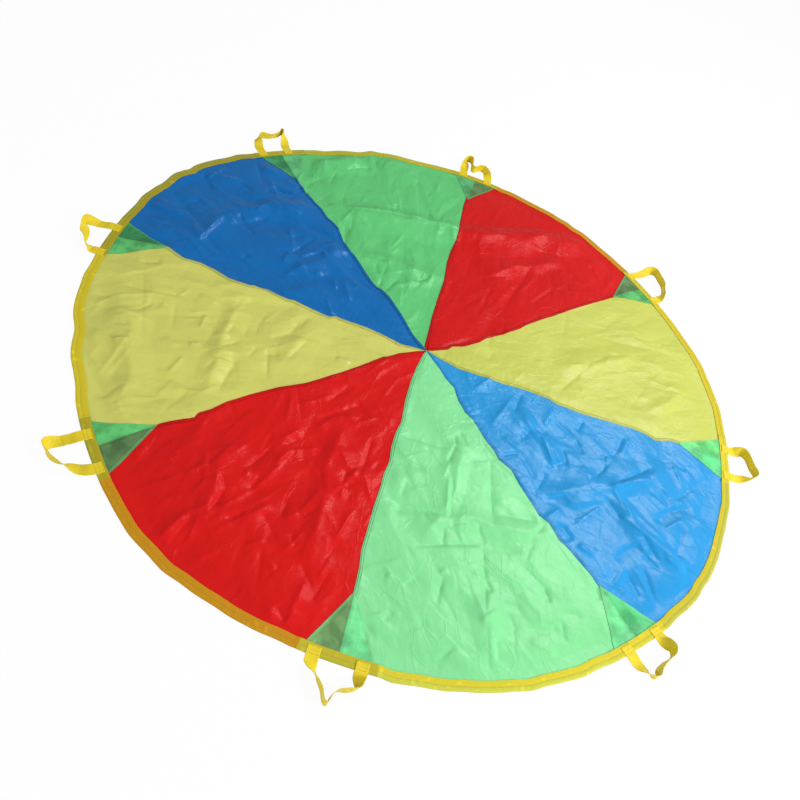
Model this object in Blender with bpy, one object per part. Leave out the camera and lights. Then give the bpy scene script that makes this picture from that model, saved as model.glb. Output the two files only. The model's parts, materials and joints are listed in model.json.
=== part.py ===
"""A play parachute that lies open on the floor.

Eight gores meet at the hub, joined by felled seams. A green patch backs each seam's rim end, a folded
tape binds the rim, and eight webbing handles turn about the lines where they leave the binding.
Metres, +Z up, hub at the origin, floor at z = 0. Seams and handles count anticlockwise from +X.
"""

import math

import bmesh
import bpy
from mathutils import Matrix, Vector

# Driving dimensions
RIM_RADIUS = 0.914
CLOTH_THICKNESS = 0.0008
TAPE_THICKNESS = 0.0008
BINDING_WIDTH = 0.024
SEAM_WIDTH = 0.009
SEAM_LAP = 0.002
PATCH_DEPTH = 0.155
PATCH_BASE = 0.168
WEBBING_WIDTH = 0.028
WEBBING_THICKNESS = 0.0012
SEWN_LENGTH = 0.019
FOOT_SPACING = 0.098
HANDLE_REACH = 0.1
CLEARANCE = 0.0003
SWING_UP_DEG = 120.0

# Relief of the cloth: the tallest fold, the least height that counts, the runs where it settles
FOLD_HEIGHT = 0.018
FOLD_CUT = 0.0005
RISE_RUN = 0.030
LIFT_RUN = 0.110
HUB_BLUNT = 0.0015

GORES = 8
SPOKES_PER_GORE = 12
RING_SHARES = (0.09, 0.18, 0.28, 0.38, 0.48, 0.58, 0.68, 0.78, 0.89, 1.0)
SECTIONS_PER_SPAN = 3

# The rim's outline, every 15 degrees from +X, in shares of the rim radius
RIM_SHARES = (
    0.990, 0.999, 0.998, 0.998, 1.004, 1.000, 1.001, 0.992,
    0.984, 0.994, 1.012, 1.008, 0.990, 0.986, 0.977, 0.988,
    1.008, 0.998, 0.990, 1.000, 1.003, 0.999, 1.006, 0.995,
)

# How high the rim stands at the middle of each gore, in shares of the tallest fold
RIM_LIFT_SHARES = (0.10, 0.45, 0.40, 0.50, 0.20, 0.10, 0.12, 0.15)

# Main folds: both ends of the crest (x, y), its half width in shares of the rim radius, and its height
# in shares of the tallest fold
FOLD_SHARES = (
    (-0.03, 0.62, -0.42, 0.50, 0.10, 0.75),
    (-0.02, 0.34, -0.28, 0.33, 0.07, 0.45),
    (-0.43, 0.80, -0.56, 0.70, 0.07, 0.95),
    (0.02, 0.62, 0.42, 0.82, 0.09, 0.75),
    (0.15, 0.48, 0.36, 0.66, 0.06, 0.40),
    (0.44, 0.14, 0.64, 0.31, 0.07, 0.35),
    (0.74, 0.10, 0.86, 0.22, 0.06, 0.35),
    (0.45, -0.36, 0.74, -0.17, 0.07, 0.65),
    (0.62, -0.30, 0.80, -0.44, 0.06, 0.55),
    (0.32, -0.12, 0.46, -0.22, 0.06, 0.45),
    (0.17, -0.30, 0.14, -0.62, 0.06, 0.35),
    (0.18, -0.55, 0.42, -0.50, 0.06, 0.35),
    (0.28, -0.74, 0.33, -0.86, 0.06, 0.40),
    (-0.42, -0.56, -0.36, -0.78, 0.07, 0.45),
    (-0.16, -0.42, -0.12, -0.76, 0.06, 0.45),
    (-0.56, -0.08, -0.52, -0.40, 0.06, 0.50),
    (-0.33, -0.06, -0.38, -0.25, 0.06, 0.35),
    (-0.82, -0.24, -0.68, -0.52, 0.07, 0.55),
    (-0.70, 0.34, -0.50, 0.44, 0.07, 0.55),
    (-0.78, 0.14, -0.72, 0.30, 0.07, 0.45),
    (-0.44, 0.14, -0.36, 0.28, 0.06, 0.40),
)

# How far each handle sits off its seam, anticlockwise, and its own spacing, in shares of FOOT_SPACING
HANDLE_SHIFT_SHARES = (-0.09, -0.02, 0.04, 0.18, 0.20, 0.08, 0.0, 0.06)
HANDLE_SPACING_SHARES = (0.98, 1.21, 0.91, 0.89, 1.09, 0.92, 1.03, 0.98)

# Each loop's centre line as it lies, from the left foot to the right one: how far out in shares of
# HANDLE_REACH, how far left in shares of half its own spacing, and its roll as a share of a turn
HANDLE_ROUTE_SHARES = (
    ((0.12, 1.02, 0.02), (0.26, 1.08, 0.10), (0.40, 1.10, 0.19), (0.53, 0.84, 0.25),
     (0.64, 0.16, 0.25), (0.74, -0.20, 0.25), (0.70, -0.52, 0.22), (0.44, -0.76, 0.07),
     (0.14, -0.98, 0.0)),
    ((0.14, 1.0, 0.0), (0.55, 1.02, 0.02), (0.82, 0.98, 0.14), (0.94, 0.72, 0.24), (0.86, 0.23, 0.25),
     (0.74, -0.27, 0.25), (0.50, -0.67, 0.25), (0.32, -0.90, 0.15), (0.14, -1.0, 0.02)),
    ((0.14, 1.0, 0.0), (0.50, 1.04, 0.02), (0.74, 1.0, 0.20), (0.86, 0.80, 0.25), (0.80, 0.58, 0.25),
     (0.56, 0.52, 0.25), (0.34, 0.44, 0.25), (0.30, 0.18, 0.25), (0.48, -0.08, 0.25),
     (0.54, -0.40, 0.25), (0.42, -0.74, 0.18), (0.26, -0.94, 0.06), (0.12, -1.0, 0.0)),
    ((0.14, 1.0, 0.0), (0.44, 0.84, -0.03), (0.67, 0.66, -0.19), (0.72, 0.32, -0.22),
     (0.64, -0.32, -0.18), (0.72, -0.98, -0.21), (0.84, -1.34, -0.25), (0.72, -1.50, -0.19),
     (0.44, -1.26, -0.04), (0.14, -1.02, 0.0)),
    ((0.13, 1.0, 0.02), (0.28, 0.88, 0.16), (0.40, 0.62, 0.22), (0.50, 0.22, 0.12),
     (0.60, -0.24, 0.10), (0.70, -0.64, 0.22), (0.56, -0.88, 0.08), (0.36, -0.96, 0.0),
     (0.14, -1.0, 0.0)),
    ((0.14, 0.94, 0.0), (0.36, 0.68, 0.05), (0.55, 0.40, 0.18), (0.70, 0.02, 0.24),
     (0.77, -0.40, 0.25), (0.78, -0.76, 0.20), (0.66, -1.0, 0.08), (0.42, -1.02, 0.0),
     (0.14, -1.0, 0.0)),
    ((0.09, 1.0, 0.03), (0.22, 1.04, 0.13), (0.35, 1.03, 0.22), (0.45, 0.68, 0.25),
     (0.52, 0.30, 0.23), (0.66, 0.12, 0.24), (0.80, 0.06, 0.25), (0.78, -0.12, 0.25),
     (0.58, -0.32, 0.25), (0.40, -0.64, 0.22), (0.24, -0.92, 0.11), (0.12, -1.0, 0.02)),
    ((0.12, 1.02, 0.03), (0.25, 1.05, 0.12), (0.38, 1.06, 0.21), (0.50, 0.80, 0.25),
     (0.51, 0.26, 0.23), (0.56, -0.30, 0.22), (0.67, -0.62, 0.25), (0.60, -0.88, 0.20),
     (0.36, -0.98, 0.05), (0.14, -1.0, 0.0)),
)

# Nose of a loop where it turns: shares of its half thickness back from the axis, and of its thickness
NOSE_SHARES = ((0.97, 0.25), (0.77, 0.64))
# Places across a foot where the rim under it is measured
FOOT_WIDTH_SHARES = (-0.5, -0.25, 0.0, 0.25, 0.5)

RIM_RISE = TAPE_THICKNESS + CLEARANCE
CLOTH_STEP = CLOTH_THICKNESS + CLEARANCE
PATCH_LEVEL = CLOTH_STEP
TOP_LIP_LEVEL = PATCH_LEVEL + CLOTH_STEP
SEWN_LEVEL = RIM_RISE + TOP_LIP_LEVEL + TAPE_THICKNESS + CLEARANCE
AXIS_HEIGHT = SEWN_LEVEL + WEBBING_THICKNESS / 2
NOSE_GAP = WEBBING_THICKNESS / 2 + CLEARANCE
FOLD_INSET = TAPE_THICKNESS + CLEARANCE
# The seam allowances start this far from the hub, where eight of them have room side by side
SEAM_START = 2 * SEAM_WIDTH

COLOURS = {
    "green": (0.13, 0.68, 0.20),
    "red": (0.66, 0.014, 0.020),
    "yellow": (0.68, 0.72, 0.16),
    "blue": (0.016, 0.17, 0.58),
    "patch_green": (0.05, 0.36, 0.11),
    "binding_yellow": (0.80, 0.60, 0.03),
    "webbing_yellow": (0.82, 0.62, 0.02),
}
GORE_COLOURS = ("yellow", "red", "green", "blue", "yellow", "red", "green", "blue")
# The gore whose seam allowance lies on top of each felled seam
SEAM_COLOURS = ("yellow", "red", "red", "blue", "yellow", "red", "green", "blue")
CLOTH_ROUGHNESS = 0.35
WEBBING_ROUGHNESS = 0.6


def clear_scene():
    for item in list(bpy.data.objects):
        bpy.data.objects.remove(item, do_unlink=True)


def material(name, roughness):
    """A plain dielectric finish in one of the named colours."""
    found = bpy.data.materials.get(name)
    if found:
        return found
    made = bpy.data.materials.new(name)
    made.use_nodes = True
    shader = made.node_tree.nodes["Principled BSDF"]
    shader.inputs["Base Color"].default_value = (*COLOURS[name], 1.0)
    shader.inputs["Roughness"].default_value = roughness
    shader.inputs["Metallic"].default_value = 0.0
    made.diffuse_color = (*COLOURS[name], 1.0)
    return made


def add_object(name, shape, finish, parent=None):
    """Turns a bmesh into a named object, faces out, and frees the bmesh."""
    bmesh.ops.recalc_face_normals(shape, faces=shape.faces[:])
    mesh = bpy.data.meshes.new(name)
    shape.to_mesh(mesh)
    shape.free()
    mesh.materials.append(finish)
    made = bpy.data.objects.new(name, mesh)
    bpy.context.scene.collection.objects.link(made)
    made.parent = parent
    return made


def smooth_step(share):
    share = min(1.0, max(0.0, share))
    return share * share * (3.0 - 2.0 * share)


def catmull_rom(before, start, end, after, share):
    """A point on the smooth curve between start and end, for numbers or vectors."""
    square = share * share
    cube = square * share
    return 0.5 * (
        2.0 * start
        + (end - before) * share
        + (2.0 * before - 5.0 * start + 4.0 * end - after) * square
        + (3.0 * start - before - 3.0 * end + after) * cube
    )


def rim_radius(angle):
    """The binding's outer edge at an angle, on a smooth closed curve through the table."""
    count = len(RIM_SHARES)
    place = (angle / math.tau) % 1.0 * count
    first = int(place)
    near = [RIM_SHARES[(first + step) % count] for step in (-1, 0, 1, 2)]
    return RIM_RADIUS * catmull_rom(*near, place - first)


def rim_lift(angle):
    """How high the rim stands off the floor: nothing beside a handle, most at the gore's middle."""
    place = (angle / math.tau) % 1.0 * GORES
    gore = int(place)
    spread = 2.0 / SPOKES_PER_GORE
    inside = (place - gore - spread) / (1.0 - 2.0 * spread)
    if not 0.0 < inside < 1.0:
        return 0.0
    return FOLD_HEIGHT * RIM_LIFT_SHARES[gore] * math.sin(math.pi * inside) ** 2


def fold_relief(x, y):
    """The height of all folds at a place in plan."""
    total = 0.0
    for ax, ay, bx, by, half_width, height in FOLD_SHARES:
        start = Vector((ax, ay)) * RIM_RADIUS
        along = Vector((bx, by)) * RIM_RADIUS - start
        offset = Vector((x, y)) - start
        share = min(1.0, max(0.0, offset.dot(along) / along.length_squared))
        away = (offset - along * share).length / (half_width * RIM_RADIUS)
        if away < 1.0:
            total += height * math.cos(math.pi / 2 * away) ** 2
    return total * FOLD_HEIGHT


def cloth_height(x, y):
    """The underside of the gores: flat on the floor between folds, raised on the binding's lower lip."""
    angle = math.atan2(y, x)
    inside = rim_radius(angle) - BINDING_WIDTH - math.hypot(x, y)
    folds = max(0.0, fold_relief(x, y) - FOLD_CUT)
    settled = smooth_step(inside / RISE_RUN)
    lifted = 1.0 - smooth_step(inside / LIFT_RUN)
    return folds * settled + RIM_RISE * (1.0 - settled) + rim_lift(angle) * lifted


def spoke_angle(spoke):
    return math.tau * spoke / (GORES * SPOKES_PER_GORE)


def ring_radii(angle):
    """The grid's rings along one spoke, out to the edge of the cloth inside the binding's fold."""
    rim = rim_radius(angle)
    settled = rim - BINDING_WIDTH - RISE_RUN
    return [share * settled for share in RING_SHARES] + [rim - BINDING_WIDTH, rim - FOLD_INSET]


def cloth_sheet(first_spoke, last_spoke):
    """A stretch of the one triangulated surface that every layer of cloth is cut from."""
    sheet = bmesh.new()
    hub = sheet.verts.new((0.0, 0.0, cloth_height(0.0, 0.0)))
    columns = []
    for spoke in range(first_spoke, last_spoke + 1):
        angle = spoke_angle(spoke)
        column = [hub]
        for radius in ring_radii(angle):
            x, y = radius * math.cos(angle), radius * math.sin(angle)
            column.append(sheet.verts.new((x, y, cloth_height(x, y))))
        columns.append(column)
    for here, there in zip(columns, columns[1:]):
        sheet.faces.new((hub, here[1], there[1]))
        for inner in range(1, len(here) - 1):
            sheet.faces.new((here[inner], here[inner + 1], there[inner + 1]))
            sheet.faces.new((here[inner], there[inner + 1], there[inner]))
    return sheet


def keep_beyond(sheet, point, normal):
    """Cuts a sheet along an upright plane and keeps the side that the normal points to."""
    geometry = sheet.verts[:] + sheet.edges[:] + sheet.faces[:]
    bmesh.ops.bisect_plane(
        sheet, geom=geometry, plane_co=point, plane_no=normal, clear_inner=True
    )


def thicken(sheet, level, thickness):
    """Lifts a sheet by a level and gives it an upright thickness."""
    bmesh.ops.translate(sheet, verts=sheet.verts[:], vec=(0.0, 0.0, level))
    made = bmesh.ops.extrude_face_region(sheet, geom=sheet.faces[:])
    top = [item for item in made["geom"] if isinstance(item, bmesh.types.BMVert)]
    bmesh.ops.translate(sheet, verts=top, vec=(0.0, 0.0, thickness))
    return sheet


def plan_direction(angle):
    return Vector((math.cos(angle), math.sin(angle), 0.0))


def seam_angle(seam):
    return math.tau * seam / GORES


def build_gore(number):
    first = number * SPOKES_PER_GORE
    sheet = cloth_sheet(first, first + SPOKES_PER_GORE)
    right, left = seam_angle(number), seam_angle(number + 1)
    right_normal = plan_direction(right + math.pi / 2)
    left_normal = plan_direction(left - math.pi / 2)
    keep_beyond(sheet, right_normal * CLEARANCE / 2, right_normal)
    keep_beyond(sheet, left_normal * CLEARANCE / 2, left_normal)
    middle = plan_direction((right + left) / 2)
    keep_beyond(sheet, middle * HUB_BLUNT, middle)
    thicken(sheet, 0.0, CLOTH_THICKNESS)
    colour = GORE_COLOURS[number]
    add_object(f"gore_{number + 1}_{colour}", sheet, material(colour, CLOTH_ROUGHNESS))


def build_seam(number):
    """The felled seam allowances, flat on both gores, from near the hub to the patch's tip."""
    middle = number * SPOKES_PER_GORE
    reach = SPOKES_PER_GORE // 2
    sheet = cloth_sheet(middle - reach, middle + reach)
    along = plan_direction(seam_angle(number))
    across = plan_direction(seam_angle(number) + math.pi / 2)
    tip = rim_radius(seam_angle(number)) - PATCH_DEPTH
    keep_beyond(sheet, -across * SEAM_LAP, across)
    keep_beyond(sheet, across * (SEAM_WIDTH - SEAM_LAP), -across)
    keep_beyond(sheet, along * SEAM_START, along)
    keep_beyond(sheet, along * (tip - CLEARANCE), -along)
    thicken(sheet, CLOTH_STEP, CLOTH_THICKNESS)
    colour = SEAM_COLOURS[number]
    add_object(f"felled_seam_{number + 1}", sheet, material(colour, CLOTH_ROUGHNESS))


def build_patch(number):
    """A triangle with its tip on the seam and its base under the binding."""
    middle = number * SPOKES_PER_GORE
    sheet = cloth_sheet(middle - SPOKES_PER_GORE // 2, middle + SPOKES_PER_GORE // 2)
    along = plan_direction(seam_angle(number))
    across = plan_direction(seam_angle(number) + math.pi / 2)
    tip = along * (rim_radius(seam_angle(number)) - PATCH_DEPTH)
    for side in (1.0, -1.0):
        edge = along * PATCH_DEPTH + across * side * PATCH_BASE / 2
        inward = Vector((-edge.y, edge.x, 0.0)).normalized() * -side
        keep_beyond(sheet, tip, inward)
    thicken(sheet, PATCH_LEVEL, CLOTH_THICKNESS)
    finish = material("patch_green", CLOTH_ROUGHNESS)
    add_object(f"corner_patch_{number + 1}", sheet, finish)


def build_binding():
    """One folded tape round the whole rim: a U in section, open to the hub."""
    shape = bmesh.new()
    loops = []
    for spoke in range(GORES * SPOKES_PER_GORE):
        angle = spoke_angle(spoke)
        rim = rim_radius(angle)
        cloth = RIM_RISE + rim_lift(angle)
        inner, fold = rim - BINDING_WIDTH, rim - TAPE_THICKNESS
        low, high = cloth - CLEARANCE, cloth + TOP_LIP_LEVEL
        section = (
            (inner, low - TAPE_THICKNESS),
            (rim, low - TAPE_THICKNESS),
            (rim, high + TAPE_THICKNESS),
            (inner, high + TAPE_THICKNESS),
            (inner, high),
            (fold, high),
            (fold, low),
            (inner, low),
        )
        out = plan_direction(angle)
        loops.append([shape.verts.new((out.x * r, out.y * r, z)) for r, z in section])
    corners = len(loops[0])
    for index, here in enumerate(loops):
        there = loops[(index + 1) % len(loops)]
        for corner in range(corners):
            after = (corner + 1) % corners
            if corner in (1, 5):
                shape.faces.new((here[corner], there[corner], there[after], here[after]))
                continue
            # The lips are split along the same diagonals as the cloth between them
            outward = corner in (0, 4)
            low, high = (corner, after) if outward or corner in (3, 7) else (after, corner)
            shape.faces.new((here[low], here[high], there[high]))
            shape.faces.new((here[low], there[high], there[low]))
    add_object("rim_binding", shape, material("binding_yellow", WEBBING_ROUGHNESS))


def rim_point(angle):
    """A place on the binding's outer edge, which runs straight from spoke to spoke."""
    place = angle / math.tau * GORES * SPOKES_PER_GORE
    first = math.floor(place)
    near, far = spoke_angle(first), spoke_angle(first + 1)
    start = plan_direction(near) * rim_radius(near)
    end = plan_direction(far) * rim_radius(far)
    return start.lerp(end, place - first)


def handle_frame(number):
    """The hinge line's middle, the handle's bearing, and half of its own foot spacing."""
    half = FOOT_SPACING * HANDLE_SPACING_SHARES[number] / 2
    shift = FOOT_SPACING * HANDLE_SHIFT_SHARES[number]
    middle = seam_angle(number) + shift / RIM_RADIUS
    left = rim_point(middle + half / RIM_RADIUS)
    right = rim_point(middle - half / RIM_RADIUS)
    along = (left - right).normalized()
    out = Vector((along.y, -along.x, 0.0))
    centre = (left + right) / 2
    edges = []
    for side in (1.0, -1.0):
        for share in FOOT_WIDTH_SHARES:
            reach = side * half + share * WEBBING_WIDTH
            edges.append((rim_point(middle + reach / RIM_RADIUS) - centre).dot(out))
    origin = centre + out * (max(edges) + NOSE_GAP)
    origin.z = AXIS_HEIGHT
    return origin, math.atan2(out.y, out.x), half


def strip_section(shape, centre, heading, roll, thickness):
    """Four corners across a strip that runs along a heading, rolled from lying flat."""
    level = Vector((-heading.y, heading.x, 0.0)).normalized()
    upright = heading.cross(level)
    wide = level * math.cos(roll) + upright * math.sin(roll)
    thick = heading.cross(wide) * thickness / 2
    wide = wide * WEBBING_WIDTH / 2
    corners = (wide + thick, -wide + thick, -wide - thick, wide - thick)
    return [shape.verts.new(centre + corner) for corner in corners]


def loop_route(number, half):
    """Places (with their roll) along a loop, in the frame of its own hinge line."""
    points = [(0.0, 1.0, 0.0), *HANDLE_ROUTE_SHARES[number], (0.0, -1.0, 0.0)]
    rows = [
        Vector((out * HANDLE_REACH, left * half, math.tau * roll)) for out, left, roll in points
    ]
    ghosts = [2 * rows[0] - rows[1], *rows, 2 * rows[-1] - rows[-2]]
    route = []
    for index in range(len(rows) - 1):
        near = ghosts[index : index + 4]
        for step in range(SECTIONS_PER_SPAN):
            route.append(catmull_rom(*near, step / SECTIONS_PER_SPAN))
    route.append(rows[-1])
    return route


def resting_height(roll):
    """The centre height of a strip that touches the floor, in the hinge line's frame."""
    upright = abs(math.sin(roll)) * WEBBING_WIDTH / 2
    flat = abs(math.cos(roll)) * WEBBING_THICKNESS / 2
    return upright + flat - AXIS_HEIGHT


def build_loop(number, frame, half):
    """The free part of a handle, its ends rounded about the hinge line."""
    shape = bmesh.new()
    route = loop_route(number, half)
    places = []
    for place in route:
        height = resting_height(place.z)
        # A flat stretch sinks to the floor over a run as long as the webbing is wide
        if height < 0.0:
            height *= smooth_step((place.x - NOSE_GAP) / WEBBING_WIDTH) ** 2
        places.append(Vector((place.x, place.y, height)))
    rings = []
    for back, thin in NOSE_SHARES:
        centre = places[0] - Vector((back * WEBBING_THICKNESS / 2, 0.0, 0.0))
        ring = strip_section(shape, centre, Vector((1.0, 0.0, 0.0)), 0.0, thin * WEBBING_THICKNESS)
        rings.append(ring)
    last = len(places) - 1
    for index, centre in enumerate(places):
        if index == 0:
            heading = Vector((1.0, 0.0, 0.0))
        elif index == last:
            heading = Vector((-1.0, 0.0, 0.0))
        else:
            heading = (places[index + 1] - places[index - 1]).normalized()
        rings.append(strip_section(shape, centre, heading, route[index].z, WEBBING_THICKNESS))
    for back, thin in reversed(NOSE_SHARES):
        centre = places[-1] - Vector((back * WEBBING_THICKNESS / 2, 0.0, 0.0))
        ring = strip_section(shape, centre, Vector((-1.0, 0.0, 0.0)), 0.0, thin * WEBBING_THICKNESS)
        rings.append(ring)
    for here, there in zip(rings, rings[1:]):
        for corner in range(4):
            after = (corner + 1) % 4
            shape.faces.new((here[corner], there[corner], there[after], here[after]))
    shape.faces.new(rings[0])
    shape.faces.new(rings[-1])
    bmesh.ops.triangulate(shape, faces=shape.faces[:])
    finish = material("webbing_yellow", WEBBING_ROUGHNESS)
    return add_object(f"handle_loop_{number + 1}", shape, finish, frame)


def build_sewn_end(number, name, left, frame):
    """The flat end on top of the binding, cut back where the raised loop swings past it."""
    half = WEBBING_THICKNESS / 2
    lean = math.radians(SWING_UP_DEG)
    # The raised loop's face is a plane at half its thickness from the hinge line
    top_back = (NOSE_GAP + half * math.cos(lean - math.pi)) / math.sin(lean)
    top_back = max(NOSE_GAP, top_back)
    low_z = (NOSE_GAP - NOSE_GAP * math.sin(lean)) / math.cos(lean)
    low_z = min(half, max(-half, low_z))
    section = (
        (-NOSE_GAP - SEWN_LENGTH, -half),
        (-NOSE_GAP, -half),
        (-NOSE_GAP, low_z),
        (-top_back, half),
        (-NOSE_GAP - SEWN_LENGTH, half),
    )
    shape = bmesh.new()
    near = [shape.verts.new((x, left - WEBBING_WIDTH / 2, z)) for x, z in section]
    face = shape.faces.new(near)
    made = bmesh.ops.extrude_face_region(shape, geom=[face])
    far = [item for item in made["geom"] if isinstance(item, bmesh.types.BMVert)]
    bmesh.ops.translate(shape, verts=far, vec=(0.0, WEBBING_WIDTH, 0.0))
    finish = material("webbing_yellow", WEBBING_ROUGHNESS)
    add_object(f"sewn_end_{number + 1}_{name}", shape, finish, frame)


def build_handle(number):
    origin, bearing, half = handle_frame(number)
    frame = bpy.data.objects.new(f"hinge_line_{number + 1}", None)
    bpy.context.scene.collection.objects.link(frame)
    frame.matrix_world = Matrix.Translation(origin) @ Matrix.Rotation(bearing, 4, "Z")
    build_loop(number, frame, half)
    build_sewn_end(number, "left", half, frame)
    build_sewn_end(number, "right", -half, frame)


def main():
    clear_scene()
    for number in range(GORES):
        build_gore(number)
        build_seam(number)
        build_patch(number)
        build_handle(number)
    build_binding()


main()
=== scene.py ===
"""A play parachute of thin glossy nylon, lying open on a pale floor after it was unpacked.

Eight gores meet at the hub in felled seams. Green corner patches back the rim ends of the seams, a
folded yellow tape binds the rim, and yellow webbing handles are sewn on top of the binding.
Metres, +Z up, hub at the origin. Seams and handles count anticlockwise from +X.
"""

import itertools
import json
import logging
import math
from dataclasses import dataclass, field
from enum import Enum
from typing import Sequence

import bpy
import numpy as np
from mathutils import Matrix, Vector


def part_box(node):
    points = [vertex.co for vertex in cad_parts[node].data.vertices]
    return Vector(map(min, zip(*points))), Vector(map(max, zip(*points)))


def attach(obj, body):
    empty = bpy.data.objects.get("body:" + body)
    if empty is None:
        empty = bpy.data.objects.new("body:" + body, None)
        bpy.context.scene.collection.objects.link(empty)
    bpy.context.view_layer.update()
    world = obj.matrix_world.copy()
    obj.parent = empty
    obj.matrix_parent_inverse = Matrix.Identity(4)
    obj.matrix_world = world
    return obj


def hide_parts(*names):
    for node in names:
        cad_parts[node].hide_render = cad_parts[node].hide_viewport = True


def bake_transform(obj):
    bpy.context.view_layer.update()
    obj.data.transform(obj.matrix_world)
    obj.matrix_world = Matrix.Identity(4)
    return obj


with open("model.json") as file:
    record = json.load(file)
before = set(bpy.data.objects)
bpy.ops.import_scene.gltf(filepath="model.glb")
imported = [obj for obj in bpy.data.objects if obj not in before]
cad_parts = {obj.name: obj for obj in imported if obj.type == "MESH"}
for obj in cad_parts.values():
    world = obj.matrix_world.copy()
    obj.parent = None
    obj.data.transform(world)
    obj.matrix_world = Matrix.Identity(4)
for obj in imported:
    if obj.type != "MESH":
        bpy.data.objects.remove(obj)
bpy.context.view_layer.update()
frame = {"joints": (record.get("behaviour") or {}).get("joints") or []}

LOG = logging.getLogger("play_parachute")
CANOPY = "canopy"
MM = 0.001
RIM_RADIUS = 0.914
# The rim's radius over the one at which the seams end in the photograph, by which the camera is placed
RIM_OVER_SEAM_ENDS = 1.018


class Hue(Enum):
    """The panels' colours, by the record's names."""

    GREEN = "green"
    RED = "red"
    YELLOW = "yellow"
    BLUE = "blue"


class Side(Enum):
    """The two sides of a seam and of the handle on it, seen from the hub."""

    LEFT = 1.0
    RIGHT = -1.0


Colour = tuple[float, float, float]


class ShaderGraph:
    """One material's nodes, with short ways to add and join them."""

    def __init__(self, name: str) -> None:
        """Starts a material with its Principled shader.

        Args:
            name: The material's name.
        """
        self.material = bpy.data.materials.new(name)
        self.material.use_nodes = True
        self.tree = self.material.node_tree
        self.shader = self.tree.nodes["Principled BSDF"]

    def add(self, kind: str, inputs: dict | None = None, **settings: object) -> bpy.types.Node:
        """Adds a node.

        Args:
            kind: The node's class name without its ShaderNode prefix.
            inputs: Socket name or number to a value or to the socket that feeds it.
            **settings: The node's own properties.

        Returns:
            The new node.
        """
        node = self.tree.nodes.new("ShaderNode" + kind)
        for name, value in settings.items():
            setattr(node, name, value)
        for name, value in (inputs or {}).items():
            self.feed(node.inputs[name], value)
        return node

    def feed(self, socket: bpy.types.NodeSocket, value: object) -> None:
        """Links a socket, or sets it where the value isn't a socket.

        Args:
            socket: The input.
            value: A plain value, or the socket that feeds it.
        """
        if isinstance(value, bpy.types.NodeSocket):
            self.tree.links.new(value, socket)
        else:
            socket.default_value = value

    def sums(self, operation: str, first: object, second: object) -> bpy.types.NodeSocket:
        """A Math node's result."""
        return self.add("Math", {0: first, 1: second}, operation=operation).outputs[0]

    def mixed(self, share: object, first: object, second: object) -> bpy.types.NodeSocket:
        """A colour between two colours.

        Args:
            share: How much of the second colour there is, from 0 to 1.
            first: A colour, or the socket that gives it.
            second: The same for the other colour.

        Returns:
            The mixed colour's socket.
        """
        node = self.add("Mix", data_type="RGBA")
        self.feed(node.inputs[0], share)
        self.feed(node.inputs[6], first if isinstance(first, bpy.types.NodeSocket) else (*first, 1.0))
        self.feed(node.inputs[7], second if isinstance(second, bpy.types.NodeSocket) else (*second, 1.0))
        return node.outputs[2]

    def ranged(
        self, value: object, low: float, high: float, to_low: float, to_high: float
    ) -> bpy.types.NodeSocket:
        """A value carried from one range to another, and held at its ends."""
        node = self.add("MapRange", {0: value, 1: low, 2: high, 3: to_low, 4: to_high})
        return node.outputs[0]

    def noise(
        self, place: object, scale: float, detail: float = 2.0, **settings: object
    ) -> bpy.types.NodeSocket:
        """A noise texture's factor."""
        inputs = {"Vector": place, "Scale": scale, "Detail": detail}
        return self.add("TexNoise", inputs, **settings).outputs[0]

    def bump(
        self, height: object, distance: float, strength: float, normal: object = None
    ) -> bpy.types.NodeSocket:
        """A bumped normal.

        Args:
            height: The socket that gives the height.
            distance: What a height of 1 stands for.
            strength: How much of it shows.
            normal: The bumped normal that it adds to, if there is one.

        Returns:
            The normal's socket.
        """
        node = self.add("Bump", {"Height": height, "Distance": distance, "Strength": strength})
        if normal is not None:
            self.feed(node.inputs["Normal"], normal)
        return node.outputs[0]

    def coordinates(self, name: str) -> bpy.types.NodeSocket:
        """Object coordinates, or the piece's own UV map."""
        return self.add("TexCoord").outputs[name]

    def dress(self, values: dict[str, object]) -> bpy.types.Material:
        """Sets or links the shader's sockets.

        Args:
            values: Socket name to a plain value or a socket.

        Returns:
            The finished material.
        """
        for name, value in values.items():
            self.feed(self.shader.inputs[name], value)
        return self.material


def scaled(colour: Colour, share: float) -> Colour:
    """A colour made darker or lighter."""
    return tuple(min(1.0, part * share) for part in colour)


def wave_scale(pitch: float) -> float:
    """The scale at which a wave texture's bands lie a pitch apart."""
    return 2 * math.pi / (20 * pitch)


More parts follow.
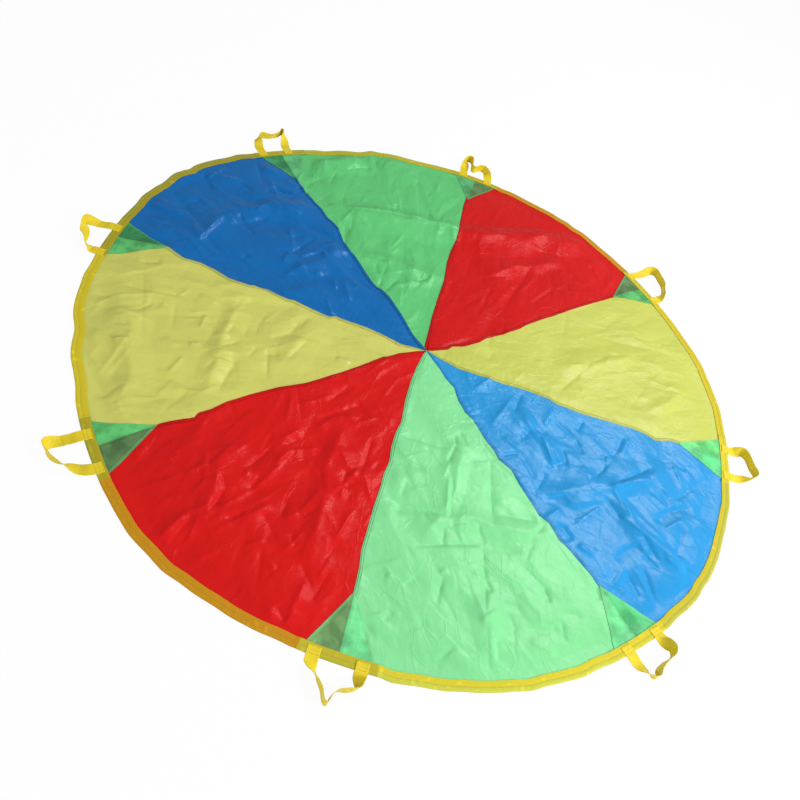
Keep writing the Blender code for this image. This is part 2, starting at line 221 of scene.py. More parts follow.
@dataclass(frozen=True)
class NylonFinish:
    """Thin woven nylon with a calendered gloss and a memory of its crumples."""

    name: str
    colour: Colour
    under: tuple[Colour, Colour] | None = None
    tip: float = 0.0
    flare: float = 0.0
    hem: float = 5 * MM
    hem_fade: float = 1.2 * MM
    hem_share: float = 0.32
    # How far to each side of a seam the colour under a patch changes over
    meeting: float = 0.6 * MM
    # The darker lane that a seam makes under a patch: its shade, middle, half width and fade
    seam_shade: float = 0.91
    seam_middle: float = 2.5 * MM
    seam_lane: float = 4.5 * MM
    seam_fade: float = 0.8 * MM
    # How dark and how bright a patch gets in its streaks and in its mottle
    streak_tones: tuple[float, float] = (0.82, 1.34)
    mottle_tones: tuple[float, float] = (0.84, 1.30)
    thread_pitch: float = 0.5 * MM
    # Distances across the piece at which a painted shade darkens it along a row of stitches, and how far and
    # how much it does so
    shaded_rows_across: tuple[float, ...] = ()
    row_shade_reach: tuple[float, float] = (0.5 * MM, 1.1 * MM)
    row_shade_tone: float = 0.50
    gloss: float = 0.20
    roughness: float = 0.31
    # How far the roughness strays below and above that
    roughness_stray: tuple[float, float] = (-0.04, 0.06)
    crinkle: float = 0.60 * MM
    # Creases left by the folding: how many to the metre, their width in shares of their spacing, their
    # height, how much of it shows, how much they are drawn out and how far they stray
    creases_per_metre: float = 26.0
    crease_share: float = 0.055
    crease: float = 0.65 * MM
    crease_strength: float = 0.60
    crease_stretch: float = 0.6
    crease_wander: float = 0.05
    cloud: float = 0.04
    # How many times to the metre each pattern repeats, roughly
    clouds_per_metre: float = 7.0
    wanders_per_metre: float = 8.0
    bold_spots_per_metre: float = 11.0
    worn_spots_per_metre: float = 24.0
    mottles_per_metre: float = 24.0
    crinkles_per_metre: float = 30.0
    streaks_per_metre: float = 46.0
    facets_per_metre: float = 55.0

    def shade_stitch_rows(
        self, graph: ShaderGraph, weave_place: bpy.types.NodeSocket, base: object
    ) -> bpy.types.NodeSocket:
        """The colour, with painted shade along the rows of stitches.

        Args:
            graph: The material's nodes.
            weave_place: The UV map, in metres along the seam and to its left.
            base: The colour between the rows.

        Returns:
            The colour.
        """
        across = graph.add("SeparateXYZ", {0: weave_place}).outputs[1]
        # Painted shade along each row of stitches, wider than the thread that lies there
        tone: object = 1.0
        for lane in self.shaded_rows_across:
            away = graph.sums("ABSOLUTE", graph.sums("SUBTRACT", across, lane), 0.0)
            tone = graph.sums("MULTIPLY", tone, graph.ranged(away, *self.row_shade_reach, self.row_shade_tone, 1.0))
        return graph.add("HueSaturation", {"Value": tone, "Color": base}).outputs[0]

    def over_layers(self, graph: ShaderGraph, weave_place: bpy.types.NodeSocket) -> bpy.types.NodeSocket:
        """A patch's colour: what shows through on either side, a darker seam lane and paler hems.

        Args:
            graph: The material's nodes.
            weave_place: The UV map, in metres along the seam and to its left.

        Returns:
            The colour.
        """
        parts = graph.add("SeparateXYZ", {0: weave_place})
        along, across = parts.outputs[0], parts.outputs[1]
        place = graph.coordinates("Object")
        left = graph.ranged(across, -self.meeting, self.meeting, 0.0, 1.0)
        base = graph.mixed(left, self.under[0], self.under[1])
        ridges = graph.noise(place, self.streaks_per_metre, 3.0, noise_type="RIDGED_MULTIFRACTAL")
        streaks = graph.ranged(ridges, 0.2, 0.9, *self.streak_tones)
        spots = graph.noise(place, self.mottles_per_metre, 2.0)
        clouds = graph.ranged(spots, 0.40, 0.60, *self.mottle_tones)
        mottle = graph.sums("MULTIPLY", streaks, clouds)
        base = graph.add("HueSaturation", {"Value": mottle, "Color": base}).outputs[0]
        offset = graph.sums("ABSOLUTE", graph.sums("SUBTRACT", across, self.seam_middle), 0.0)
        lane = graph.ranged(offset, self.seam_lane, self.seam_lane + self.seam_fade, 1.0, 0.0)
        shade = graph.add("HueSaturation", {"Value": self.seam_shade, "Color": base}).outputs[0]
        base = graph.mixed(lane, base, shade)
        half = graph.sums("MULTIPLY", graph.sums("SUBTRACT", along, self.tip), self.flare)
        to_edge = graph.sums("SUBTRACT", half, graph.sums("ABSOLUTE", across, 0.0))
        hem = graph.ranged(to_edge, self.hem, self.hem + self.hem_fade, self.hem_share, 0.0)
        return graph.mixed(hem, base, self.colour)

    def build(self) -> bpy.types.Material:
        """Makes the material. Across the UV map's second axis, a patch shows what lies under it.

        Returns:
            The material.
        """
        graph = ShaderGraph(self.name)
        place = graph.coordinates("Object")
        weave_place = graph.coordinates("UV")
        cloud = graph.noise(place, self.clouds_per_metre, 3.0)
        tone = graph.ranged(cloud, 0.3, 0.7, 1.0 - self.cloud, 1.0 + self.cloud)
        base = (*self.colour, 1.0) if self.under is None else self.over_layers(graph, weave_place)
        if self.shaded_rows_across:
            base = self.shade_stitch_rows(graph, weave_place, base)
        colour = graph.add("HueSaturation", {"Value": tone, "Color": base}).outputs[0]
        threads = {"Vector": weave_place, "Scale": wave_scale(self.thread_pitch)}
        warp = graph.add("TexWave", threads, bands_direction="X").outputs[1]
        weft = graph.add("TexWave", threads, bands_direction="Y").outputs[1]
        weave = graph.sums("MAXIMUM", warp, weft)
        crinkles = graph.noise(place, self.crinkles_per_metre, 3.0, noise_type="RIDGED_MULTIFRACTAL")
        cells = {"Vector": place, "Scale": self.facets_per_metre}
        facets = graph.add("TexVoronoi", cells, distance="MANHATTAN").outputs[0]
        worn = graph.noise(place, self.worn_spots_per_metre, 3.0)
        smoothest, roughest = (self.roughness + stray for stray in self.roughness_stray)
        shine = graph.ranged(worn, 0.3, 0.7, smoothest, roughest)
        normal = graph.bump(self.fold_lines(graph, place, weave_place), self.crease, self.crease_strength)
        normal = graph.bump(crinkles, self.crinkle, 0.35, normal)
        normal = graph.bump(facets, self.crinkle * 2, 0.25, normal)
        normal = graph.bump(weave, self.thread_pitch / 8, 0.35, normal)
        return graph.dress(
            {
                "Base Color": colour,
                "Roughness": shine,
                "Normal": normal,
                "Specular IOR Level": self.gloss,
            }
        )

    def fold_lines(self, graph: ShaderGraph, place: object, weave_place: object) -> bpy.types.NodeSocket:
        """Straight sharp creases that meet at corners, drawn out along the cloth, strong in places.

        Args:
            graph: The material's nodes.
            place: Object coordinates.
            weave_place: The UV map, in metres.

        Returns:
            Their height, from 0 to 1.
        """
        reach = (self.crease_wander, self.crease_wander, 0.0)
        stray = graph.add("TexNoise", {"Vector": place, "Scale": self.wanders_per_metre}).outputs["Color"]
        stray = graph.add("VectorMath", {0: stray, 1: reach}, operation="MULTIPLY").outputs[0]
        bent = graph.add("VectorMath", {0: weave_place, 1: stray}, operation="ADD").outputs[0]
        drawn = graph.add("Mapping", {"Vector": bent, "Scale": (self.crease_stretch, 1.0, 1.0)}).outputs[0]
        edges = graph.add(
            "TexVoronoi", {"Vector": drawn, "Scale": self.creases_per_metre}, feature="DISTANCE_TO_EDGE"
        ).outputs["Distance"]
        lines = graph.ranged(edges, 0.0, self.crease_share, 1.0, 0.0)
        bold = graph.noise(place, self.bold_spots_per_metre, 2.0)
        strong = graph.ranged(bold, 0.42, 0.62, 0.15, 1.0)
        return graph.sums("MULTIPLY", lines, strong)


@dataclass(frozen=True)
class TapeFinish:
    """Folded rim tape whose outer lane shows the cloth inside it through its weave."""

    name: str = "binding_yellow"
    roughness: float = 0.55
    rib_pitch: float = 0.9 * MM

    def build(self) -> bpy.types.Material:
        """Makes the material, tinted by the mesh's own colour attribute."""
        graph = ShaderGraph(self.name)
        place = graph.coordinates("Object")
        along = graph.coordinates("UV")
        tint = graph.add("Attribute", attribute_name="tint").outputs["Color"]
        cloud = graph.noise(place, 62.0, 3.0, noise_type="RIDGED_MULTIFRACTAL")
        # The ridged pattern that bumps the tape also paints its crests lighter and its hollows darker:
        # painted light and shade on its crinkles
        tone = graph.ranged(cloud, 0.2, 0.9, 0.85, 1.38)
        colour = graph.add("HueSaturation", {"Value": tone, "Color": tint}).outputs[0]
        bands = {"Vector": along, "Scale": wave_scale(self.rib_pitch)}
        ribs = graph.add("TexWave", bands, bands_direction="X").outputs[1]
        normal = graph.bump(cloud, 1.2 * MM, 0.6)
        normal = graph.bump(ribs, self.rib_pitch / 8, 0.5, normal)
        return graph.dress(
            {
                "Base Color": colour,
                "Roughness": self.roughness,
                "Normal": normal,
                "Specular IOR Level": 0.15,
                "Sheen Weight": 0.01,
            }
        )


@dataclass(frozen=True)
class WebbingFinish:
    """Flat woven webbing: ribs across it, and painted shade in the hollows between its cords."""

    name: str = "webbing_yellow"
    colour: Colour = (0.77, 0.61, 0.024)
    roughness: float = 0.50
    rib_pitch: float = 1.6 * MM
    cord_pitch: float = 2.3 * MM

    def build(self) -> bpy.types.Material:
        """Makes the material on the strip's own UV map, in metres along and across it."""
        graph = ShaderGraph(self.name)
        along = graph.coordinates("UV")
        place = graph.coordinates("Object")
        rib_bands = {"Vector": along, "Scale": wave_scale(self.rib_pitch)}
        cord_bands = {"Vector": along, "Scale": wave_scale(self.cord_pitch)}
        ribs = graph.add("TexWave", rib_bands, bands_direction="X").outputs[1]
        cords = graph.add("TexWave", cord_bands, bands_direction="Y").outputs[1]
        woven = graph.sums("MULTIPLY", graph.sums("ADD", ribs, 0.6), graph.sums("ADD", cords, 0.6))
        # The weave's hollows are painted darker: painted shade, besides the bump
        depth = graph.ranged(woven, 0.4, 2.2, 0.92, 1.04)
        fuzz = graph.ranged(graph.noise(place, 180.0, 2.0), 0.3, 0.7, 0.96, 1.04)
        tone = graph.sums("MULTIPLY", depth, fuzz)
        colour = graph.add("HueSaturation", {"Value": tone, "Color": (*self.colour, 1.0)}).outputs[0]
        normal = graph.bump(woven, self.rib_pitch / 8, 0.4)
        return graph.dress(
            {
                "Base Color": colour,
                "Roughness": self.roughness,
                "Normal": normal,
                "Specular IOR Level": 0.20,
                "Sheen Weight": 0.02,
            }
        )


@dataclass(frozen=True)
class ThreadFinish:
    """Spun sewing thread."""

    name: str
    colour: Colour
    twist_pitch: float = 0.7 * MM

    def build(self) -> bpy.types.Material:
        """Makes the material with a fine twist."""
        graph = ShaderGraph(self.name)
        place = graph.coordinates("Object")
        twist = graph.noise(place, 1 / self.twist_pitch, 1.0)
        # The pattern that bumps the twist also paints it: painted shade in its hollows and painted light on
        # its plies
        tone = graph.ranged(twist, 0.3, 0.7, 0.85, 1.08)
        colour = graph.add("HueSaturation", {"Value": tone, "Color": (*self.colour, 1.0)}).outputs[0]
        return graph.dress(
            {
                "Base Color": colour,
                "Roughness": 0.55,
                "Normal": graph.bump(twist, 0.1 * MM, 0.5),
                "Sheen Weight": 0.2,
            }
        )


@dataclass(frozen=True)
class FloorFinish:
    """A pale floor that the camera sees as white, with a faint shadow of the cloth."""

    name: str = "pale_floor"
    colour: Colour = (0.82, 0.82, 0.82)
    white_share: float = 0.955

    def build(self) -> bpy.types.Material:
        """Makes the material. Lamps see a plain matt floor."""
        graph = ShaderGraph(self.name)
        graph.dress({"Base Color": (*self.colour, 1.0), "Roughness": 0.9, "Specular IOR Level": 0.1})
        path = graph.add("LightPath")
        seen = graph.sums("MAXIMUM", path.outputs["Is Camera Ray"], path.outputs["Is Glossy Ray"])
        seen = graph.sums("MAXIMUM", seen, path.outputs["Is Transmission Ray"])
        share = graph.sums("MULTIPLY", seen, self.white_share)
        glow = graph.add("Emission", {"Color": (1.0, 1.0, 1.0, 1.0), "Strength": 1.0})
        mix = graph.add("MixShader", {0: share, 1: graph.shader.outputs[0], 2: glow.outputs[0]})
        output = graph.tree.nodes["Material Output"]
        graph.tree.links.new(mix.outputs[0], output.inputs["Surface"])
        return graph.material


def catmull_rom(points: Sequence[np.ndarray], share: np.ndarray) -> np.ndarray:
    """Places on the smooth curve between the middle two of four points.

    Args:
        points: The four points, in order.
        share: How far from the second point to the third, from 0 to 1.

    Returns:
        The places.
    """
    before, start, end, after = points
    square = share * share
    return 0.5 * (
        2.0 * start
        + (end - before) * share
        + (2.0 * before - 5.0 * start + 4.0 * end - after) * square
        + (3.0 * start - before - 3.0 * end + after) * square * share
    )


def smooth_step(share: np.ndarray) -> np.ndarray:
    """An even rise from 0 to 1."""
    share = np.clip(share, 0.0, 1.0)
    return share * share * (3.0 - 2.0 * share)


def turned(angle: float) -> np.ndarray:
    """The unit direction of a bearing in plan."""
    return np.array((math.cos(angle), math.sin(angle)))


class SmoothNoise:
    """Seeded value noise on a square lattice, the same on each run."""

    def __init__(self, seed: int, cell: float) -> None:
        """Draws the lattice.

        Args:
            seed: Picks the pattern.
            cell: The lattice's spacing.
        """
        self.cell = cell
        self.table = np.random.default_rng(seed).random((128, 128))

    def at(self, x: np.ndarray, y: np.ndarray) -> np.ndarray:
        """The noise at places.

        Args:
            x: How far each place is along the lattice's first axis.
            y: The same along its other axis.

        Returns:
            Values from 0 to 1.
        """
        u, v = x / self.cell + 64.0, y / self.cell + 64.0
        i, j = np.floor(u).astype(int), np.floor(v).astype(int)
        a, b = smooth_step(u - i), smooth_step(v - j)
        i0, i1, j0, j1 = i % 128, (i + 1) % 128, j % 128, (j + 1) % 128
        low = self.table[i0, j0] * (1 - a) + self.table[i1, j0] * a
        high = self.table[i0, j1] * (1 - a) + self.table[i1, j1] * a
        return low * (1 - b) + high * b


class FacetNoise:
    """Seeded flat facets between sharp creases, as in cloth that was bundled up."""

    SIZE = 64
    JITTER = 0.25
    RING = ((0, 0), (1, 0), (1, 1), (0, 1))

    def __init__(self, seed: int, cell: float, stretch: float) -> None:
        """Shifts the corners of a lattice, gives each a level, and splits each cell one way or the other.

        Args:
            seed: Picks the pattern.
            cell: The facets' width.
            stretch: How much longer than wide they are, along their own first axis.
        """
        draws = np.random.default_rng(seed)
        self.length, self.width = cell * stretch, cell
        self.shifts = draws.uniform(-self.JITTER, self.JITTER, (self.SIZE, self.SIZE, 2))
        self.levels = draws.uniform(-1.0, 1.0, (self.SIZE, self.SIZE))
        self.splits = draws.integers(0, 2, (self.SIZE, self.SIZE))

    def corner(self, i: np.ndarray, j: np.ndarray) -> np.ndarray:
        """The place of a lattice corner, in cells, and its level."""
        shift = self.shifts[i % self.SIZE, j % self.SIZE]
        return np.stack((i + shift[..., 0], j + shift[..., 1], self.levels[i % self.SIZE, j % self.SIZE]))

    def at(self, x: np.ndarray, y: np.ndarray) -> np.ndarray:
        """The facets' level at places in plan.

        Args:
            x: How far each place is along the facets' own first axis.
            y: The same along the other one.

        Returns:
            Levels from -1 to 1.
        """
        u, v = x / self.length + 500.0, y / self.width + 500.0
        i, j = np.floor(u).astype(int), np.floor(v).astype(int)
        best, level = np.full(x.shape, -9.0), np.zeros(x.shape)
        for di, dj in itertools.product((-1, 0, 1), repeat=2):
            split = self.splits[(i + di) % self.SIZE, (j + dj) % self.SIZE]
            ring = [self.corner(i + di + a, j + dj + b) for a, b in self.RING]
            ring = [np.where(split, ring[k - 3], ring[k]) for k in range(4)]
            for a, b, c in ((ring[0], ring[1], ring[2]), (ring[2], ring[3], ring[0])):
                double = (b[0] - a[0]) * (c[1] - a[1]) - (b[1] - a[1]) * (c[0] - a[0])
                share_b = ((u - a[0]) * (c[1] - a[1]) - (v - a[1]) * (c[0] - a[0])) / double
                share_c = ((b[0] - a[0]) * (v - a[1]) - (b[1] - a[1]) * (u - a[0])) / double
                share_a = 1.0 - share_b - share_c
                least = np.minimum(share_a, np.minimum(share_b, share_c))
                found = least > best
                level = np.where(found, share_a * a[2] + share_b * b[2] + share_c * c[2], level)
                best = np.where(found, least, best)
        return level


@dataclass(frozen=True)
class PhotoView:
    """The camera as it stood, for finding a place on the floor from one in the photograph."""

    focal_px: float = 756.3
    middle_px: float = 400.0
    seam_radius: float = RIM_RADIUS / RIM_OVER_SEAM_ENDS
    position_share: tuple[float, float, float] = (-0.161, -1.660, 1.604)
    azimuth: float = math.radians(5.05)
    elevation: float = math.radians(48.02)
    roll: float = math.radians(23.61)

    def axes(self) -> tuple[np.ndarray, np.ndarray, np.ndarray]:
        """The directions in which the camera sees right, up and forward.

        Returns:
            Three unit directions.
        """
        az, el, roll = self.azimuth, self.elevation, self.roll
        forward = np.array((math.sin(az) * math.cos(el), math.cos(az) * math.cos(el), -math.sin(el)))
        level = np.array((math.cos(az), -math.sin(az), 0.0))
        upright = np.cross(level, forward)
        right = level * math.cos(roll) + upright * math.sin(roll)
        return right, upright * math.cos(roll) - level * math.sin(roll), forward

    def position(self) -> np.ndarray:
        """Where the camera stands."""
        return np.array(self.position_share) * self.seam_radius

    def on_floor(self, pixels: np.ndarray | Sequence, height: float = 4 * MM) -> np.ndarray:
        """Where in plan the pixels of the photograph lie.

        Args:
            pixels: One pixel, or one per row.
            height: How far above the floor they lie.

        Returns:
            One plan place per row.
        """
        right, up, forward = self.axes()
        px = np.atleast_2d(np.asarray(pixels, float))
        side = (px[:, :1] - self.middle_px) / self.focal_px
        rise = (self.middle_px - px[:, 1:2]) / self.focal_px
        ray = forward + side * right + rise * up
        eye = self.position()
        return (eye + ray * ((height - eye[2]) / ray[:, 2:]))[:, :2]


@dataclass
class LyingCloth:
    """The one surface that every layer of the canopy lies on."""

    view: PhotoView = PhotoView()
    rim_radius: float = RIM_RADIUS
    binding_width: float = 0.024
    fold_height: float = 18 * MM
    fold_cut: float = 0.5 * MM
    rise_run: float = 0.030
    lift_run: float = 0.110
    rim_rise: float = 1.1 * MM
    spread_share: float = 2 / 12
    # The rim's outline every 15 degrees from +X, in shares of the rim radius
    rim_shares: tuple[float, ...] = (
        0.990, 0.999, 0.998, 0.998, 1.004, 1.000, 1.001, 0.992,
        0.984, 0.994, 1.012, 1.008, 0.990, 0.986, 0.977, 0.988,
        1.008, 0.998, 0.990, 1.000, 1.003, 0.999, 1.006, 0.995,
    )
    # Kinks of the rim: bearing and half width in degrees, and how far out in millimetres
    rim_kinks: tuple[tuple[float, float, float], ...] = (
        (12.0, 5.0, 4.0), (25.0, 6.5, 8.0), (58.5, 5.0, -5.0), (65.5, 2.5, -8.0), (69.5, 2.5, -6.0),
        (81.0, 4.0, 4.5), (104.0, 6.0, -5.0), (114.5, 2.0, 7.0), (117.5, 3.0, -7.5), (125.0, 2.5, -6.5),
        (144.0, 3.0, 6.0), (155.5, 1.5, -7.0), (159.0, 3.0, 8.0), (163.0, 2.0, -3.5), (167.5, 3.0, 6.0),
        (190.5, 3.0, 4.0), (203.0, 4.5, -9.0), (213.0, 5.0, -5.0), (245.5, 3.0, 5.0), (262.0, 3.0, -3.0),
        (277.5, 3.5, 6.5), (286.5, 2.5, -3.0), (296.0, 2.5, 3.0), (306.5, 2.5, -3.0), (323.5, 3.0, -6.0),
        (331.0, 2.0, -3.5), (341.0, 2.0, -2.5), (350.5, 3.2, 4.0),
    )
    kink_share: float = 0.65
    rim_wiggle: float = 1.3 * MM
    foot_half_width: float = 0.085
    # How high the rim stands at the middle of each gore, in shares of the tallest fold
    lift_shares: tuple[float, ...] = (0.10, 0.45, 0.40, 0.50, 0.20, 0.10, 0.12, 0.15)
    # Main folds: both ends of the crest, half width in shares of the rim radius, height share
    folds: tuple[tuple[float, ...], ...] = (
        (-0.03, 0.62, -0.42, 0.50, 0.10, 0.75),
        (-0.02, 0.34, -0.28, 0.33, 0.07, 0.45),
        (-0.43, 0.80, -0.56, 0.70, 0.07, 0.95),
        (0.02, 0.62, 0.42, 0.82, 0.09, 0.75),
        (0.15, 0.48, 0.36, 0.66, 0.06, 0.40),
        (0.44, 0.14, 0.64, 0.31, 0.07, 0.35),
        (0.74, 0.10, 0.86, 0.22, 0.06, 0.35),
        (0.45, -0.36, 0.74, -0.17, 0.07, 0.65),
        (0.62, -0.30, 0.80, -0.44, 0.06, 0.55),
        (0.32, -0.12, 0.46, -0.22, 0.06, 0.45),
        (0.17, -0.30, 0.14, -0.62, 0.06, 0.35),
        (0.18, -0.55, 0.42, -0.50, 0.06, 0.35),
        (0.28, -0.74, 0.33, -0.86, 0.06, 0.40),
        (-0.42, -0.56, -0.36, -0.78, 0.07, 0.45),
        (-0.16, -0.42, -0.12, -0.76, 0.06, 0.45),
        (-0.56, -0.08, -0.52, -0.40, 0.06, 0.50),
        (-0.33, -0.06, -0.38, -0.25, 0.06, 0.35),
        (-0.82, -0.24, -0.68, -0.52, 0.07, 0.55),
        (-0.70, 0.34, -0.50, 0.44, 0.07, 0.55),
        (-0.78, 0.14, -0.72, 0.30, 0.07, 0.45),
        (-0.44, 0.14, -0.36, 0.28, 0.06, 0.40),
    )
    # Creases that the photograph shows: both ends in its pixels, height and half width in millimetres
    crease_px: tuple[tuple[float, ...], ...] = (
        # yellow, left
        (80, 345, 100, 366, 2.0, 8), (100, 373, 124, 344, 2.6, 10), (104, 376, 130, 352, 1.6, 8),
        (92, 305, 112, 297, 1.6, 9), (112, 297, 160, 294, 1.8, 9), (84, 317, 98, 305, 1.2, 7),
        (83, 352, 104, 402, -2.6, 16), (166, 338, 177, 347, 1.6, 7), (193, 312, 208, 318, 1.4, 7),
        (160, 369, 182, 377, 1.2, 7), (121, 397, 126, 387, 1.4, 7), (117, 402, 121, 412, 2.0, 9),
        (121, 412, 140, 421, 1.8, 9), (190, 398, 217, 386, 1.4, 9), (250, 313, 257, 302, -1.8, 8),
        (236, 307, 241, 298, -1.4, 8), (225, 336, 233, 326, -1.8, 8), (244, 336, 247, 328, -1.4, 8),
        (204, 323, 240, 321, -1.2, 6), (220, 349, 240, 342, -1.6, 7), (202, 352, 222, 352, -1.2, 6),
        (205, 369, 222, 357, -2.0, 9), (219, 390, 236, 360, -3.0, 16), (271, 338, 292, 333, -2.6, 12),
        (292, 333, 300, 321, -2.0, 10), (299, 329, 308, 317, -2.0, 10), (268, 350, 267, 378, -2.2, 10),
        (247, 358, 257, 347, -1.6, 9), (287, 360, 307, 342, -1.6, 10), (262, 350, 286, 346, 1.4, 7),
        (144, 270, 142, 340, -1.2, 9), (175, 300, 172, 330, -1.2, 10),
        # blue, upper left
        (198, 241, 222, 220, 4.2, 11), (256, 213, 264, 206, 3.0, 10), (264, 206, 282, 212, 3.2, 10),
        (282, 212, 300, 216, 2.8, 9), (240, 215, 246, 226, -2.4, 10), (246, 226, 254, 234, -2.0, 9),
        (165, 226, 173, 231, 2.2, 9), (178, 208, 190, 203, -2.2, 11), (190, 203, 201, 200, -2.0, 10),
        (204, 174, 212, 190, -2.6, 14), (290, 229, 293, 248, 2.4, 9), (283, 262, 289, 253, 2.2, 8),
        (300, 257, 322, 252, 3.0, 9), (322, 252, 325, 259, 2.0, 7), (318, 249, 336, 243, 2.2, 8),
        (284, 275, 304, 266, 2.4, 12), (334, 279, 336, 289, 2.0, 8), (327, 300, 332, 315, 2.4, 8),
        (225, 269, 236, 273, 2.0, 8), (242, 259, 248, 255, -1.8, 7), (344, 282, 350, 300, 1.8, 9),
        (270, 180, 276, 196, 2.0, 10), (272, 185, 300, 196, 2.2, 14), (256, 160, 262, 182, -2.4, 12),
        # green, top
        (347, 210, 400, 216, 4.2, 13), (400, 216, 460, 231, 3.6, 13), (341, 223, 352, 213, 3.0, 12),
        (306, 188, 312, 182, -2.0, 8), (312, 182, 321, 178, -1.6, 8), (305, 164, 311, 176, -2.0, 10),
        (321, 198, 331, 206, -3.0, 14), (346, 171, 372, 168, -2.0, 10), (371, 153, 378, 172, -3.0, 12),
        (383, 197, 390, 206, -1.6, 8), (390, 206, 390, 217, -1.6, 8), (362, 258, 378, 263, 2.2, 9),
        (378, 263, 390, 264, 1.8, 8), (379, 287, 386, 268, -2.0, 9), (384, 292, 398, 280, -2.4, 9),
        (394, 286, 420, 283, 3.0, 13), (418, 282, 430, 278, -2.6, 10), (393, 272, 416, 272, 1.4, 7),
        (418, 170, 419, 222, -1.2, 8), (414, 240, 432, 247, -1.6, 10), (440, 195, 448, 203, -1.2, 8),
        # red, top
        (462, 231, 500, 233, 4.6, 14), (500, 233, 556, 237, 4.2, 14), (501, 209, 494, 221, 2.0, 9),
        (471, 257, 466, 277, -3.4, 14), (480, 257, 520, 258, -2.4, 10), (478, 278, 506, 277, -1.8, 9),
        (505, 262, 500, 275, 1.8, 8), (532, 250, 560, 257, -2.2, 10), (531, 268, 505, 306, -4.0, 18),
        (541, 276, 551, 267, -2.0, 8), (546, 268, 553, 289, -2.6, 11), (553, 289, 532, 304, -2.6, 11),
        (520, 265, 539, 261, -1.8, 8), (482, 307, 490, 288, -2.6, 10), (469, 296, 481, 290, 1.8, 8),
        (462, 307, 481, 297, -2.0, 9), (590, 265, 600, 288, -2.2, 14), (562, 266, 578, 292, -1.8, 16),
        (520, 292, 536, 276, 2.2, 9), (505, 320, 503, 334, -2.0, 8), (476, 316, 486, 300, -1.6, 9),
        # yellow, right
        (560, 391, 574, 379, -2.6, 14), (574, 379, 592, 363, -2.6, 14), (592, 363, 604, 359, -2.0, 12),
        (566, 312, 563, 338, -1.4, 12), (600, 358, 630, 356, -1.4, 9), (646, 379, 666, 387, 1.6, 9),
        (666, 387, 680, 392, 2.0, 9), (680, 396, 700, 401, -1.4, 8), (630, 406, 644, 391, -1.6, 12),
        (672, 412, 700, 408, -1.4, 9), (640, 386, 700, 398, -1.2, 14), (640, 362, 662, 366, 1.2, 9),
        (488, 360, 494, 352, -1.6, 9), (442, 360, 448, 350, -1.6, 7), (488, 346, 492, 336, -1.4, 7),
        # blue, lower right
        (474, 390, 491, 377, 3.2, 14), (468, 398, 478, 413, 2.6, 9), (492, 424, 512, 398, 3.6, 15),
        (521, 395, 514, 413, -3.2, 10), (508, 408, 521, 428, 3.0, 11), (520, 440, 533, 428, -3.6, 14),
        (533, 428, 546, 436, -3.0, 12), (541, 438, 553, 466, 3.6, 10), (546, 438, 558, 468, -3.0, 9),
        (562, 448, 566, 466, -3.6, 13), (546, 466, 566, 462, -3.0, 11), (554, 420, 576, 440, -2.8, 9),
        (576, 440, 583, 454, -2.8, 9), (545, 426, 553, 410, 2.8, 11), (577, 432, 583, 421, -2.8, 9),
        (500, 455, 521, 452, -2.6, 8), (503, 438, 520, 450, 2.4, 8), (521, 455, 536, 480, -3.4, 12),
        (536, 490, 545, 474, -2.6, 8), (548, 500, 580, 492, -4.2, 14), (580, 492, 612, 486, -4.6, 15),
        (612, 486, 650, 468, -5.2, 15), (610, 488, 628, 482, 4.0, 12), (594, 480, 610, 462, -2.8, 8),
        (600, 458, 616, 453, -3.2, 10), (616, 453, 623, 438, -3.0, 10), (582, 466, 590, 478, 2.4, 8),
        (564, 505, 602, 502, 3.2, 12), (545, 520, 560, 508, 3.0, 12), (572, 528, 600, 506, 3.0, 13),
        (612, 492, 632, 520, 5.0, 10), (618, 500, 650, 535, -4.0, 8), (606, 500, 620, 520, -4.2, 10),
        (620, 518, 645, 538, 3.0, 8), (640, 518, 662, 541, 3.2, 8), (650, 492, 665, 505, 2.4, 8),
        (662, 488, 668, 497, 2.2, 7), (656, 521, 668, 512, -4.2, 11), (668, 512, 690, 508, -4.2, 11),
        (676, 500, 690, 490, -4.2, 11), (690, 490, 705, 480, -4.2, 11), (684, 470, 694, 480, 2.6, 7),
        (672, 462, 684, 492, 3.0, 10), (694, 518, 716, 541, 3.8, 8), (664, 530, 682, 520, 3.0, 12),
        (682, 530, 676, 560, -3.6, 13), (640, 535, 656, 560, -4.2, 11), (644, 556, 658, 570, -3.0, 8),
        (664, 560, 682, 574, 2.8, 9), (683, 566, 698, 580, -3.2, 8), (648, 455, 668, 462, -3.0, 9),
        (616, 560, 630, 549, -3.6, 14), (630, 549, 640, 548, -2.6, 10), (626, 572, 640, 600, -4.0, 14),
        (642, 568, 660, 612, -4.6, 12), (632, 566, 654, 606, 3.8, 12), (672, 600, 688, 584, -3.2, 12),
        (578, 545, 592, 556, 3.0, 12), (612, 585, 624, 570, 2.6, 9), (560, 524, 572, 540, -3.4, 12),
        (700, 520, 706, 500, -2.6, 12), (608, 452, 606, 470, 2.4, 10), (628, 440, 622, 456, 2.4, 9),
        # green, bottom
        (404, 436, 438, 446, -3.0, 9), (438, 446, 452, 448, -2.2, 8), (455, 436, 456, 444, -3.0, 9),
        (456, 444, 448, 462, -3.6, 9), (460, 432, 467, 446, -2.6, 10), (448, 464, 443, 478, 2.2, 10),
        (400, 460, 426, 470, -2.4, 9), (406, 480, 401, 496, -1.8, 7), (396, 503, 420, 510, -3.4, 9),
        (420, 510, 448, 516, -3.4, 9), (452, 480, 449, 520, -3.6, 9), (448, 478, 445, 520, 2.2, 8),
        (450, 528, 480, 525, 2.4, 9), (490, 460, 492, 525, -3.0, 14), (478, 525, 484, 543, -3.6, 8),
        (500, 515, 540, 522, -2.8, 16), (484, 532, 512, 532, -1.8, 6), (444, 528, 443, 545, -2.0, 7),
        (420, 546, 482, 544, -2.8, 9), (486, 545, 520, 552, -2.2, 7), (483, 545, 484, 565, -2.2, 6),
